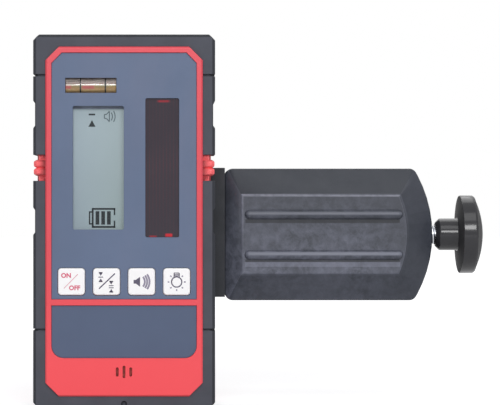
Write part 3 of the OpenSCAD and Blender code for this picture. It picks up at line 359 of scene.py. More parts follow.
glassLow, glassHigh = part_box("lcd_glass")
glassFinish = {
    "left": (147, 164, 177), "right": (149, 167, 166), "top": (182, 200, 208), "topAmount": 0.6,
    "shade": (140, 156, 160), "shadeAmount": 0.25, "black": (0, 0, 0), "glow": 0.45, "level": 0.85,
    "rough": (0.26, 0.34), "grain": (6000.0, 3000.0, 26.0)}


def makeDisplayGlass(look):
    # grey green, bluer to the left; paler at the top as a painted shade that darkens it downwards, and partly
    # glowing as painted light
    tree, shader, place = startMaterial("displayGlass")
    x, y, z = apart(tree, place)
    grain = grained(tree, place, look["grain"])
    color = mixedColor(tree, mapped(tree, x, glassLow.x, glassHigh.x), look["left"], look["right"])
    pale = times(tree, mapped(tree, z, glassLow.z, glassHigh.z), look["topAmount"])
    color = mixedColor(tree, pale, color, look["top"])
    color = mixedColor(tree, times(tree, grain["Shade"], look["shadeAmount"]), color, look["shade"])
    feed(tree, shader, {
        "Base Color": mixedColor(tree, look["glow"], color, look["black"]), "Emission Color": color,
        "Emission Strength": look["glow"] * look["level"], "Roughness": shaded(tree, grain, look["rough"])})


makeDisplayGlass(glassFinish)

turnedFinish = {"grain": (900.0, 540.0, 90.0), "bump": (0.15, 0.01)}
metalLooks = {
    "platedSteel": {"shades": ((205, 207, 212), (178, 180, 186)), "rough": (0.2, 0.34),
                    "stretch": (6.0, 1.0, 1.0), **turnedFinish},
    "turnedBrass": {"shades": ((214, 178, 98), (190, 152, 78)), "rough": (0.24, 0.38),
                    "stretch": (5.0, 1.0, 1.0), **turnedFinish}}


def makeMetal(name, look):
    # turned metal: fine lines round the piece come from stretched noise
    tree, shader, place = startMaterial(name)
    turned = addNode(tree, "Mapping", {"Vector": place, "Scale": look["stretch"]}).outputs["Vector"]
    grain = grained(tree, turned, look["grain"])
    feed(tree, shader, {
        "Base Color": mixedColor(tree, grain["Shade"], *look["shades"]), "Metallic": 1.0,
        "Roughness": shaded(tree, grain, look["rough"]), "Normal": bumped(tree, grain["Height"], *look["bump"])})


clearLooks = {
    "clearLens": {"smear": 60.0, "rough": (0.05, 0.14), "set": {
        "Base Color": (150, 162, 166), "Alpha": 0.05, "Specular IOR Level": 0.25, "Coat Weight": 0.1,
        "Coat Roughness": 0.03}},
    "clearTube": {"smear": 120.0, "rough": (0.05, 0.07), "set": {
        "Base Color": (244, 240, 230), "Transmission Weight": 1.0, "IOR": 1.47, "Coat Weight": 1.0,
        "Coat Roughness": 0.1}}}


def makeClear(name, look):
    tree, shader, place = startMaterial(name)
    feed(tree, shader, {"Roughness": smeared(tree, place, look["smear"], look["rough"]), **look["set"]})


for make, looks in ((makeMoulded, mouldedLooks), (makeMetal, metalLooks), (makeClear, clearLooks)):
    for name, look in looks.items():
        make(name, look)

filterFinish = {
    "color": (56, 50, 59), "line": (74, 48, 57), "glint": (214, 40, 54), "rough": (0.14, 0.24), "shine": 0.25,
    "wave": {"Scale": 230.0, "Distortion": 0.6, "Detail": 2.0}, "span": (0.55, 1.0),
    "grain": (3000.0, 1500.0, 60.0), "fall": (0.6, 0.4),
    "glints": [  # a middle, a half size and a share
        ((15.8, 123.2), (2.8, 0.6), 0.4), ((17.9, 69.5), (1.7, 0.85), 0.9), ((11.6, 69.0), (1.8, 0.5), 0.4)]}


def makeSmokedFilter(look):
    # dark red plastic with upright lines moulded inside, and painted red glints at its top and bottom ends
    tree, shader, place = startMaterial("smokedFilter")
    lines = addNode(tree, "TexWave", {"Vector": place, **look["wave"]}, bands_direction="X")
    grain = grained(tree, place, look["grain"])
    share = times(tree, mapped(tree, lines.outputs["Fac"], *look["span"]), grain["Shade"])
    color = mixedColor(tree, share, look["color"], look["line"])
    x, y, z = apart(tree, place)
    for middle, half, lit in look["glints"]:
        for source, centre, reach, fall in zip((x, z), middle, half, look["fall"]):
            off = away(tree, source, centre * mm)
            lit = times(tree, mapped(tree, off, reach * mm, reach * mm * fall), lit)
        color = mixedColor(tree, lit, color, look["glint"])
    feed(tree, shader, {"Base Color": color, "Roughness": shaded(tree, grain, look["rough"]),
                        "Specular IOR Level": look["shine"]})


makeSmokedFilter(filterFinish)

fluidLow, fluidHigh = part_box("vial_fluid")
# painted light and shade in the fluid: the dark upper half is painted shade, the pale rims and the pale line are
# painted highlights, the bubble's red is a painted reflection, and the glow is painted light
fluidFinish = {  # heights are from the middle of the vial, in mm
    "z": (fluidLow.z + fluidHigh.z) / 2, "green": (126, 126, 48), "amber": (184, 134, 58), "amberAt": (-0.3, -1.2),
    "warm": (170, 118, 64), "warmAmount": 0.5, "grain": (2500.0, 900.0, 420.0),
    "red": (190, 60, 74), "redAmount": 0.85, "bubble": -14.4 * mm, "half": 2.4 * mm, "end": -21.2 * mm,
    "soft": 0.4 * mm, "paintedLightLow": (222, 196, 150), "paintedLightLowAt": (-1.0, -1.5),
    "dark": (128, 106, 106), "brown": (138, 110, 98), "paintedShadeAt": (0.15, 0.5),
    "paintedLightHigh": (222, 218, 220), "paintedLightHighAt": (1.15, 1.75),
    "line": (236, 233, 230), "highlightUp": 0.2 * mm, "highlightHalf": 0.36 * mm, "highlightFall": 0.4, "highlightShare": 0.9,
    "glow": 0.1, "rough": 0.3, "shine": 0.2}


def makeVialFluid(look):
    # dark above as painted shade, green to amber below, red at the bubble as a painted reflection and red at the
    # left end; pale rims and a pale line are painted highlights, and a faint glow is painted light
    tree, shader, place = startMaterial("vialFluid")
    x, y, z = apart(tree, place)
    shade = grained(tree, place, look["grain"])["Shade"]

    def level(key):
        return mapped(tree, z, *[look["z"] + height * mm for height in look[key]])

    def edge(source, middle):
        return mapped(tree, source, middle + look["soft"], middle - look["soft"])

    lower = mixedColor(tree, level("amberAt"), look["green"], look["amber"])
    lower = mixedColor(tree, times(tree, shade, look["warmAmount"]), lower, look["warm"])
    red = edge(away(tree, x, look["bubble"]), look["half"])
    red = counted(tree, "MAXIMUM", red, edge(x, look["end"]))
    lower = mixedColor(tree, times(tree, red, look["redAmount"]), lower, look["red"])
    lower = mixedColor(tree, level("paintedLightLowAt"), lower, look["paintedLightLow"])
    dark = mixedColor(tree, shade, look["dark"], look["brown"])
    dark = mixedColor(tree, level("paintedLightHighAt"), dark, look["paintedLightHigh"])
    color = mixedColor(tree, level("paintedShadeAt"), lower, dark)
    line = mapped(tree, away(tree, z, look["z"] + look["highlightUp"]), look["highlightHalf"],
                  look["highlightHalf"] * look["highlightFall"], 0.0, look["highlightShare"])
    color = mixedColor(tree, line, color, look["line"])
    feed(tree, shader, {"Base Color": color, "Emission Color": color, "Emission Strength": look["glow"],
                        "Roughness": look["rough"], "Specular IOR Level": look["shine"]})


makeVialFluid(fluidFinish)

cellFinish = {"band": 20.0 * mm, "shades": ((52, 84, 70), (44, 74, 62)), "pale": (196, 198, 202),
              "rough": (0.25, 0.35), "metal": 0.6, "grain": (2500.0, 900.0, 120.0)}


def makeCellSleeve(look):
    tree, shader, place = startMaterial("cellSleeve")
    x, y, z = apart(tree, place)
    band = counted(tree, "GREATER_THAN", counted(tree, "ABSOLUTE", x), look["band"])
    grain = grained(tree, place, look["grain"])
    dark = mixedColor(tree, grain["Shade"], *look["shades"])
    feed(tree, shader, {"Base Color": mixedColor(tree, band, dark, look["pale"]), "Metallic": look["metal"],
                        "Roughness": shaded(tree, grain, look["rough"])})


makeCellSleeve(cellFinish)
print("materials:", len(bpy.data.materials))


# mesh pieces

def weld(bm, reach):
    bmesh.ops.remove_doubles(bm, verts=bm.verts, dist=reach * mm)


def faceOut(bm):
    bmesh.ops.recalc_face_normals(bm, faces=bm.faces)


def cadCopy(node):
    bm = bmesh.new()
    bm.from_mesh(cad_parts[node].data)
    weld(bm, 0.002)
    bmesh.ops.dissolve_limit(bm, angle_limit=math.radians(0.6), verts=bm.verts, edges=bm.edges)
    return bm


def addPiece(name, bm, finish, body, replaced=(), crease=40.0):
    mesh = bpy.data.meshes.new(name)
    bm.to_mesh(mesh)
    bm.free()
    mesh.materials.append(finishes[finish])
    mesh.shade_smooth()
    mesh.set_sharp_from_angle(angle=math.radians(crease))
    piece = bpy.data.objects.new(name, mesh)
    scene.collection.objects.link(piece)
    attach(piece, body)
    if replaced:
        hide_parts(*replaced)
    return piece


def sharpEdges(bm, angle, where=lambda place: True):
    return [e for e in bm.edges if len(e.link_faces) == 2 and e.calc_face_angle(0.0) > math.radians(angle)
            and where(e.verts[0].co)]


def roundOff(bm, edges, offset, segments, clamp=True):
    return bmesh.ops.bevel(bm, geom=edges, offset=offset, offset_type="OFFSET", segments=segments, profile=0.5,
                           affect="EDGES", clamp_overlap=clamp, material=-1)


def rounding(edge, segments, **more):
    return {"edge": edge * mm, "segments": segments, **more}


def held(value, low=0.0):
    return min(1.0, max(low, value))


def softenEdges(bm, look):
    # rounds edges, outer ones unless side is -1, and marks the middle of each rounding for wear and a painted
    # highlight
    wear = bm.verts.layers.float.new("edgeWearAndHighlight")
    lit = look.get("lit")
    count = 0
    for step in look["rounds"]:
        where, side = step.get("where", lambda place: True), step.get("side", 1)
        least = math.radians(step.get("angle", 24.0))
        edges = [e for e in bm.edges if len(e.link_faces) == 2 and side * e.calc_face_angle_signed(0.0) > least
                 and where((e.verts[0].co + e.verts[1].co) / 2)]
        made = roundOff(bm, edges, step["edge"], step["segments"], step.get("clamp", True))
        rounded = set(made["faces"])
        outside = {v for f in bm.faces if f not in rounded for v in f.verts}
        bm.normal_update()
        for vert in {v for f in rounded for v in f.verts}:
            share = 0.0 if vert in outside else 1.0
            if lit:  # only edges that look up get the painted highlight
                share *= held(vert.normal.z / lit["tilt"], lit["least"])
                share *= lit["end"] if vert.normal.x > lit["tilt"] else 1.0
                share *= 1.0 if vert.co.y < lit["back"] else 0.0
            vert[wear] = share
        count += len(edges)
    return count


def paintSlantShade(bm, look):
    # painted shade: the slanted faces along the outer edges are painted darker than the flat front, each by the
    # side it faces
    band = bm.faces.layers.float.new("paintedSlantShade")
    flat, span, sideways = 0.985, 0.1, 0.25
    bm.normal_update()
    for face in bm.faces:
        way, middle = face.normal, face.calc_center_median()
        slant = held((flat - abs(way.y)) / span) if look["slanted"] else 1.0
        share = look["other"]
        for side, along in (("up", way.z), ("down", -way.z), ("left", -way.x), ("right", way.x)):
            if along > sideways:
                share = look[side]
                if side == "right" and "rightTop" in look:
                    share += (look["rightTop"] - share) * held((middle.z - look["middle"]) / look["rise"])
        face[band] = 0.0 if "front" in look and middle.y < look["front"] else share * slant


def flattenBoss(bm, look):
    # the nut's boss is drawn back where it swells out of the round end's slope
    low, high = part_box("clamp_housing")
    centreX, centreZ = high.x - look["endR"], (low.z + high.z) / 2
    moved = 0
    for vert in bm.verts:
        share = 1 - (look["endR"] - math.hypot(vert.co.x - centreX, vert.co.z - centreZ)) / look["slope"]
        surface = look["faceY"] + (look["rimY"] - look["faceY"]) * share
        inReach = vert.co.x > high.x - look["slope"] and abs(vert.co.z - centreZ) < look["reach"]
        if inReach and look["start"] < share < 1.0 and look["least"] < surface - vert.co.y < look["most"]:
            vert.co.y = surface
            moved += 1
    bm.normal_update()
    print("boss drawn back at", moved, "points")


def softened(node, finish, look, body="receiver", name=None):
    words = node.split("_")
    name = name or words[0] + "".join(word.title() for word in words[1:])
    bm = cadCopy(node)
    if "boss" in look:
        flattenBoss(bm, look["boss"])
    count = softenEdges(bm, look)
    if "band" in look:
        paintSlantShade(bm, look["band"])
    piece = addPiece(name, bm, finish, body, (node,), look.get("crease", 40.0))
    weighted = piece.modifiers.new("evenNormals", "WEIGHTED_NORMAL")
    weighted.keep_sharp = True
    print("softened", name, count, "edges,", len(piece.data.polygons), "faces")


# the receiver's shell and bumpers

# the band paints shade on the bumpers' slanted faces
bumperLook = {"rounds": [rounding(0.45, 3)],
              "band": {"slanted": True, "up": 1.0, "down": 1.0, "left": 0.8, "right": 0.8, "other": 1.0}}
for bumperPlace in ("top", "bottom", "left_upper", "left_lower", "right_upper", "right_lower"):
    softened(bumperPlace + "_bumper", "bumperRubber", bumperLook)

frontY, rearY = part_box("front_housing")[0].y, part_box("rear_housing")[1].y
shellLook = {"bezel": 0.4, "fine": 0.18, "face": 0.12 * mm, "reach": 1.6 * mm, "slotHalf": 6.0 * mm,
             "slotTop": 22.0 * mm}


def onBezel(place):
    nearSlots = abs(place.x) < shellLook["slotHalf"] and place.z < shellLook["slotTop"]
    return place.y < frontY + shellLook["face"] and not nearSlots


softened("front_housing", "redPlastic", {"rounds": [
    rounding(shellLook["bezel"], 4, where=onBezel),
    rounding(shellLook["fine"], 2, angle=40.0, where=lambda place: place.y < frontY + shellLook["reach"])]},
    name="frontShell")
softened("rear_housing", "redPlastic", {"rounds": [
    rounding(shellLook["fine"], 2, where=lambda place: place.y > rearY - shellLook["reach"])]}, name="rearShell")

panelLook = {"rounds": [rounding(0.06, 2)]}
windowLook = {"corner": 0.7, "below": 126.0 * mm}
softened("upper_panel", "upperPanelFilm", {"rounds": [
    rounding(windowLook["corner"], 4, side=-1, angle=60.0, where=lambda place: place.z < windowLook["below"]),
    *panelLook["rounds"]]})
softened("lower_panel", "lowerPanelFilm", panelLook)

keyLook = {"rounds": [rounding(0.18, 2, angle=30.0)]}
for keyNode in ("power_key", "accuracy_key", "sound_key", "light_key"):
    softened(keyNode, "whitePlastic", keyLook, keyNode)

doorLook = {"rounds": [rounding(0.25, 2)]}
softened("battery_door", "redPlastic", doorLook, "battery_door")


# the clamp

clampEdge = {"face": 8.95 * mm, "rim": 15.6 * mm, "bossX": 116.0 * mm, "bossY": 14.8 * mm,
             "bossZ": (62.4 * mm, 76.4 * mm)}


def onClampFront(place):
    # the front edges, without the ribs before the face and the boss that was drawn back
    low, high = clampEdge["bossZ"]
    ofBoss = place.x > clampEdge["bossX"] and place.y < clampEdge["bossY"] and low < place.z < high
    return clampEdge["face"] < place.y < clampEdge["rim"] and not ofBoss


clampLook = {
    "boss": {"endR": 52.1 * mm, "slope": 10.9 * mm, "faceY": 9.0 * mm, "rimY": 15.0 * mm, "reach": 7.0 * mm,
             "start": 0.02, "least": 0.01 * mm, "most": 3.0 * mm},
    # lit paints a highlight on the rounded edges that look up, less on those facing right and none behind the rim
    "crease": 12.0, "lit": {"tilt": 0.12, "least": 0.12, "end": 0.3, "back": 14.0 * mm},
    # band paints shade on the clamp's slopes, by the side each one faces
    "band": {"slanted": False, "front": 9.05 * mm, "up": 0.85, "down": 0.6, "left": 0.1, "right": 0.72,
             "rightTop": 0.35, "middle": 69.4 * mm, "rise": 16.0 * mm, "other": 1.0},
    "rounds": [
        rounding(0.7, 6, angle=14.0, clamp=False, where=onClampFront),
        rounding(0.4, 3, angle=40.0, where=lambda place: place.y > clampEdge["rim"])]}
softened("clamp_housing", "clampPlastic", clampLook)
bracketLook = {"rounds": [rounding(0.6, 3)]}
softened("mount_bracket", "bracketPlastic", bracketLook)
softened("sliding_jaw", "bracketPlastic", bracketLook, "sliding_jaw")
padLook = {"rounds": [rounding(0.15, 2)]}
softened("fixed_jaw_pad", "padRubber", padLook)
softened("sliding_jaw_pad", "padRubber", padLook, "sliding_jaw")
handScrewLook = {"rounds": [rounding(0.4, 3, angle=32.0)]}
softened("mount_screw", "blackPlastic", handScrewLook, "mount_screw")

knobLook = {
    "hubR": 6.6 * mm, "hubChamfer": 1.8 * mm, "hubLength": 10.2 * mm, "rimR": 16.2 * mm, "rimWidth": 6.1 * mm,
    "dome": 3.4 * mm, "domeEdge": 1.2 * mm, "domeSteps": 10, "domeDull": 0.85, "boreR": 4.02 * mm,
    "boreDepth": 12.0 * mm, "cone": 0.9 * mm, "steps": 112, "sharp": 25,
    "rounds": ((1.5 * mm, True), (0.5 * mm, False)), "faceReach": 1.0 * mm}


def makeKnob(look):
    low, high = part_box("clamp_knob")
    axisY, axisZ = (low.y + high.y) / 2, (low.z + high.z) / 2
    bm = bmesh.new()
    rimX = low.x + look["hubLength"]
    faceX, boreX = rimX + look["rimWidth"], low.x + look["boreDepth"]
    outline = [(boreX, 0.0), (boreX, look["boreR"]), (low.x, look["boreR"]),
               (low.x, look["hubR"] - look["hubChamfer"]), (low.x + look["hubChamfer"], look["hubR"]),
               (rimX - look["cone"], look["hubR"]), (rimX, look["rimR"]), (faceX, look["rimR"])]
    verts = [bm.verts.new((x, axisY, axisZ + r)) for x, r in outline]
    for pair in zip(verts, verts[1:]):
        bm.edges.new(pair)
    flatR = look["rimR"] - look["domeEdge"]  # the dome is an arc turned from the rim to the middle
    domeR = (flatR ** 2 + look["dome"] ** 2) / (2 * look["dome"])
    inner = bm.verts.new((faceX, axisY, axisZ + flatR))
    bm.edges.new((verts[-1], inner))
    bmesh.ops.spin(bm, geom=[inner], cent=(high.x - domeR, axisY, axisZ), axis=(0, -1, 0),
                   angle=-math.asin(flatR / domeR), steps=look["domeSteps"])
    bmesh.ops.spin(bm, geom=bm.verts[:] + bm.edges[:], cent=(0, axisY, axisZ), axis=(1, 0, 0),
                   angle=2 * math.pi, steps=look["steps"], use_merge=True)
    weld(bm, 0.003)
    faceOut(bm)
    for rounding, outer in look["rounds"]:
        sharp = sharpEdges(bm, look["sharp"], lambda place: (place.x > faceX - look["faceReach"]) == outer)
        roundOff(bm, sharp, rounding, 5)
    inside = bm.faces.layers.float.new("innerSide")
    bm.normal_update()
    for face in bm.faces:
        back = face.normal.x < -0.9 and face.calc_center_median().x > low.x + look["hubChamfer"]
        face[inside] = 1.0 if back else look["domeDull"] if face.normal.x > 0.7 else 0.0
    addPiece("clampKnob", bm, "knobPlastic", "clamp_screw", ("clamp_knob",), 50.0)


makeKnob(knobLook)

screwLook = {"rootR": 3.35 * mm, "crestR": 4.0 * mm, "pitch": 2.0 * mm, "turnSteps": 36, "tipR": 2.5 * mm,
             "rise": (0.12, 0.45, 0.67), "gap": 0.1 * mm, "lap": 0.4 * mm}


def alongX(place):
    return Matrix.Translation(place) @ Matrix.Rotation(math.pi / 2, 4, "Y")


def makeClampScrew(look):
    low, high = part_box("clamp_screw")
    axisY, axisZ = (low.y + high.y) / 2, (low.z + high.z) / 2
    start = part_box("sliding_jaw")[1].x + look["gap"]  # the thread begins past the jaw's carriage
    pitch, root, crest = look["pitch"], look["rootR"], look["crestR"]
    turns = int((high.x - start) / pitch) + 3
    bm = bmesh.new()
    x = start - 1.5 * pitch
    profile = zip((0.0, *look["rise"], 1.0), (root, root, crest, crest, root))
    verts = [bm.verts.new((x + share * pitch, axisY, axisZ + r)) for share, r in profile]
    edges = [bm.edges.new(pair) for pair in zip(verts, verts[1:])]
    bmesh.ops.spin(bm, geom=verts + edges, cent=(0, axisY, axisZ), axis=(1, 0, 0), angle=2 * math.pi * turns,
                   steps=look["turnSteps"] * turns, dvec=(pitch / look["turnSteps"], 0, 0))
    weld(bm, 0.005)
    for place, side in ((start, -1), (high.x, 1)):
        bmesh.ops.bisect_plane(bm, geom=bm.verts[:] + bm.edges[:] + bm.faces[:], dist=0.0005 * mm,
                               plane_co=(place, 0, 0), plane_no=(side, 0, 0), clear_outer=True)
    bmesh.ops.holes_fill(bm, edges=[e for e in bm.edges if e.is_boundary], sides=0)
    tipEnd = start + look["lap"]
    bmesh.ops.create_cone(bm, cap_ends=True, segments=48, radius1=look["tipR"], radius2=look["tipR"],
                          depth=tipEnd - low.x, matrix=alongX(((tipEnd + low.x) / 2, axisY, axisZ)))
    faceOut(bm)
    addPiece("clampScrew", bm, "platedSteel", "clamp_screw", ("clamp_screw",), 30.0)


makeClampScrew(screwLook)
print("clamp made")


# marks on the keys and the display, drawn in mm on a flat face

markLook = {"thick": 0.03 * mm}


def addStroke(bm, start, end, width):
    first, second = Vector(start) * mm, Vector(end) * mm
    middle, line = (first + second) / 2, second - first
    place = (Matrix.Translation((middle.x, 0, middle.y)) @ Matrix.Rotation(-math.atan2(line.y, line.x), 4, "Y")
             @ Matrix.Rotation(math.pi / 2, 4, "X") @ Matrix.Diagonal((line.length / 2, width * mm / 2, 1, 1)))
    bmesh.ops.create_grid(bm, x_segments=1, y_segments=1, size=1, matrix=place)


def addLevel(bm, x, z, half, width):
    addStroke(bm, (x - half, z), (x + half, z), width)


def addArc(bm, centre, radius, width, start, angle, steps):
    x, z = centre
    turn = math.radians(start)
    inner, outer = [bm.verts.new(((x + r * math.cos(turn)) * mm, 0, (z + r * math.sin(turn)) * mm))
                    for r in (radius - width / 2, radius + width / 2)]
    edge = bm.edges.new((inner, outer))
    bmesh.ops.spin(bm, geom=[inner, outer, edge], cent=(x * mm, 0, z * mm), axis=(0, -1, 0),
                   angle=math.radians(angle), steps=steps, use_merge=angle == 360)


def addFace(bm, corners):
    bm.faces.new([bm.verts.new((x * mm, 0, z * mm)) for x, z in corners])


def addArrow(bm, centre, width, height, up):
    x, z = centre
    foot, tip = z - up * height / 2, z + up * height / 2
    addFace(bm, [(x - width / 2, foot), (x + width / 2, foot), (x, tip)])


def addLetters(bm, words, centre, height, bold):
    capShare = 0.69  # of a capital's height in the font's size
    curve = bpy.data.curves.new("letters", "FONT")
    curve.body, curve.size = words, height * mm / capShare
    curve.align_x, curve.align_y = "CENTER", "CENTER"
    curve.resolution_u, curve.offset = 3, bold * mm
    letters = bpy.data.objects.new("letters", curve)
    scene.collection.objects.link(letters)
    mesh = bpy.data.meshes.new_from_object(letters.evaluated_get(bpy.context.evaluated_depsgraph_get()))
    mesh.transform(Matrix.Translation((centre[0] * mm, 0, centre[1] * mm)) @ Matrix.Rotation(math.pi / 2, 4, "X"))
    bm.from_mesh(mesh)
    bpy.data.objects.remove(letters)
    bpy.data.curves.remove(curve)
    bpy.data.meshes.remove(mesh)


def finishMark(name, bm, middle, finish, body):
    # flat faces turn to the front, get their thickness and move to their place
    weld(bm, 0.001)
    for face in bm.faces:
        face.normal_update()
        if face.normal.y > 0:
            face.normal_flip()
    bmesh.ops.solidify(bm, geom=bm.faces[:], thickness=-markLook["thick"])
    faceOut(bm)
    front, back = min(v.co.y for v in bm.verts), max(v.co.y for v in bm.verts)
    bmesh.ops.translate(bm, verts=bm.verts, vec=Vector(middle) - Vector((0, back, 0)))
    print("mark", name, len(bm.faces), "faces,", round((back - front) / mm, 3), "mm thick")
    addPiece(name, bm, finish, body)


def finishKeyMark(name, bm, finish, key):
    low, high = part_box(key)
    middle = (low.x + high.x) / 2, low.y, (low.z + high.z) / 2
    finishMark(name, bm, middle, finish, key)


powerMarkLook = {"words": (("ON", (-2.1, 2.4)), ("OFF", (1.25, -2.55))), "letters": 1.75, "bold": 0.1,
                 "slash": ((-3.0, -2.7), (2.6, 3.0)), "line": 0.3}


def makePowerMark(look):
    bm = bmesh.new()
    for words, place in look["words"]:
        addLetters(bm, words, place, look["letters"], look["bold"])
    finishKeyMark("powerMark", bm, "markRed", "power_key")
    bm = bmesh.new()
    addStroke(bm, *look["slash"], look["line"])
    finishKeyMark("powerSlash", bm, "markRose", "power_key")


makePowerMark(powerMarkLook)

accuracyMarkLook = {  # each sign has a place, its lines and a gap to its arrows
    "slash": ((-3.0, -2.8), (3.4, 3.3)), "line": 0.5, "arrow": (1.5, 1.25), "dash": (0.95, 0.36),
    "bar": (0.75, 0.5), "signs": (((-2.3, 1.85), (0.0,), 0.5), ((1.9, -2.0), (-0.42, 0.42), 0.85))}


def makeAccuracyMark(look):
    bm = bmesh.new()
    addStroke(bm, *look["slash"], look["line"])
    wide, high = look["arrow"]
    for (x, z), lines, gap in look["signs"]:
        for line in lines:
            addLevel(bm, x, z + line, *look["dash"])
        for side in (-1, 1):
            addArrow(bm, (x, z + side * (gap + high / 2)), wide, high, -side)
            addLevel(bm, x, z + side * (gap + high), *look["bar"])
    finishKeyMark("accuracyMark", bm, "markGrey", "accuracy_key")


makeAccuracyMark(accuracyMarkLook)

soundMarkLook = {"box": (-3.2, -2.3, 0.75), "cone": (-2.3, -0.6, 2.0), "waves": ((2.9, 42), (3.85, 40), (4.8, 38)),
                 "wave": 0.75, "from": (-1.6, 0.0), "steps": 14}


def makeSoundMark(look):
    bm = bmesh.new()
    x0, x1, half = look["box"]
    addStroke(bm, (x0, 0.0), (x1, 0.0), 2 * half)
    x2, x3, wide = look["cone"]
    addFace(bm, [(x2, -half), (x3, -wide), (x3, wide), (x2, half)])
    finishKeyMark("soundMark", bm, "markGrey", "sound_key")
    bm = bmesh.new()
    for radius, turn in look["waves"]:
        addArc(bm, look["from"], radius, look["wave"], -turn, 2 * turn, look["steps"])
    finishKeyMark("soundWaves", bm, "markPale", "sound_key")


makeSoundMark(soundMarkLook)

lightMarkLook = {
    "middle": (0.0, -0.1), "bulb": 2.05, "ring": 0.5, "steps": 40, "cap": (1.05, 1.9, 3.5), "side": 0.35,
    "coils": (2.4, 2.95, 3.5), "coil": 0.36, "turns": (-90, -45, 0, 45, 135, 180, 225), "rays": (2.9, 3.6),
    "ray": 0.55}


def makeLightMark(look):
    bm = bmesh.new()
    addArc(bm, look["middle"], look["bulb"], look["ring"], 0, 360, look["steps"])
    half, low, high = look["cap"]
    for x in (-half, half):
        addStroke(bm, (x, low), (x, high), look["side"])
    for height in look["coils"]:
        addLevel(bm, 0.0, height, half, look["coil"])
    finishKeyMark("lightMark", bm, "markGrey", "light_key")
    bm = bmesh.new()
    for turn in look["turns"]:
        way = Vector((math.cos(math.radians(turn)), math.sin(math.radians(turn))))
        addStroke(bm, *[Vector(look["middle"]) + way * reach for reach in look["rays"]], look["ray"])
    finishKeyMark("lightRays", bm, "markPale", "light_key")


makeLightMark(lightMarkLook)

displayLook = {
    "dash": (-13.0, 118.0, 1.3, 0.7), "arrow": (-13.0, 114.4), "arrowSize": (2.9, 2.7),
    "battery": (-14.2, -3.6, 72.4, 80.4), "line": 0.75, "nose": 1.5, "lip": (0.33, 2.9, 0.6),
    "cap": (0.25, 1.4, 1.6, 0.55), "bars": (1.9, 2.3, 1.3, 1.5)}


def makeDisplayMarks(look):
    bm = bmesh.new()
    addLevel(bm, *look["dash"])
    addArrow(bm, look["arrow"], *look["arrowSize"], 1)
    x0, x1, z0, z1 = look["battery"]
    line, body = look["line"], x0 + look["nose"]
    for height in (z0 + line / 2, z1 - line / 2):
        addStroke(bm, (body, height), (x1, height), line)
    addStroke(bm, (body, z0), (body, z1), line)
    inset, reach, width = look["lip"]
    for low, high in ((z0, z0 + reach), (z1 - reach, z1)):
        addStroke(bm, (x1 - inset, low), (x1 - inset, high), width)
    inset, end, step, width = look["cap"]
    addStroke(bm, (x0 + inset, z0 + end), (x0 + inset, z1 - end), width)
    for height in (z0 + step, z1 - step):
        addStroke(bm, (x0, height), (body, height), width)
    first, pitch, end, width = look["bars"]
    for x in [body + first + bar * pitch for bar in range(3)]:
        addStroke(bm, (x, z0 + end), (x, z1 - end), width)
    finishMark("displayMarks", bm, (0, glassLow.y, 0), "displayDark", "receiver")


makeDisplayMarks(displayLook)

speakerLook = {"place": (-8.0, 117.2), "box": 0.8, "horn": (2.0, 2.1), "line": 0.4, "waves": (3.0, 4.1),
               "from": 0.2, "turn": 32, "steps": 10}


def makeDisplaySpeaker(look):
    bm = bmesh.new()
    (x, z), box, line = look["place"], look["box"], look["line"]
    wide, high = look["horn"]
    addStroke(bm, (x, z - box), (x, z + box), line)
    for side in (-1, 1):
        addStroke(bm, (x, z + side * box), (x + box, z + side * box), line)
        addStroke(bm, (x + box, z + side * box), (x + wide, z + side * high), line)
    addStroke(bm, (x + wide, z - high), (x + wide, z + high), line)
    for radius in look["waves"]:
        addArc(bm, (x + look["from"], z), radius, line, -look["turn"], 2 * look["turn"], look["steps"])
    finishMark("displaySpeaker", bm, (0, glassLow.y, 0), "displayFaint", "receiver")


makeDisplaySpeaker(speakerLook)

topShadowLook = {"high": 1.15, "lap": 1.6 * mm}


def makeTopShadow(look):
    # a painted shadow: a thin dark sheet along the top of the display's window, where shade falls
    low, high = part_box("lcd_lens")
    x0, x1, top = [v / mm for v in (low.x + look["lap"], high.x - look["lap"], high.z - look["lap"])]
    bm = bmesh.new()
    addStroke(bm, (x0, top - look["high"] / 2), (x1, top - look["high"] / 2), look["high"])
    finishMark("displayTopShadow", bm, (0, low.y, 0), "gasketDark", "receiver")


makeTopShadow(topShadowLook)
print("marks made")


# dust in the sound slots

slotLook = {"pitch": 2.7 * mm, "wide": 1.1 * mm, "heights": (3.7 * mm, 5.0 * mm, 3.7 * mm), "z": 14.8 * mm,
            "deep": 0.7 * mm, "gap": 0.04 * mm, "thick": 0.4 * mm, "round": 0.15 * mm, "front": 0.1 * mm,
            "parts": 8}


def extruded(bm):
    made = bmesh.ops.extrude_face_region(bm, geom=bm.faces[:])
    return [g for g in made["geom"] if isinstance(g, bmesh.types.BMVert)]


def makeSlotDust(look):
    # the felt behind the slots, pressed up into them
    bm = bmesh.new()
    half, y = look["wide"] / 2 - look["gap"], frontY + look["deep"]
    turns = [math.pi * part / look["parts"] for part in range(look["parts"] + 1)]
    for step, height in zip((-1, 0, 1), look["heights"]):
        reach = height / 2 - look["wide"] / 2
        ends = [(side * math.cos(turn) * half, side * (reach + math.sin(turn) * half))
                for side in (1, -1) for turn in turns]
        bm.faces.new([bm.verts.new((step * look["pitch"] + x, 0, look["z"] + z)) for x, z in ends])
    bmesh.ops.translate(bm, verts=extruded(bm), vec=(0, look["thick"], 0))
    bmesh.ops.translate(bm, verts=bm.verts, vec=(0, y, 0))
    faceOut(bm)
    roundOff(bm, sharpEdges(bm, 60, lambda place: place.y < y + look["front"]), look["round"], 3)
    addPiece("slotDust", bm, "dustMesh", "receiver")


makeSlotDust(slotLook)


# the vial's clear tube

tubeLook = {"ends": 0.3 * mm, "sides": 64}


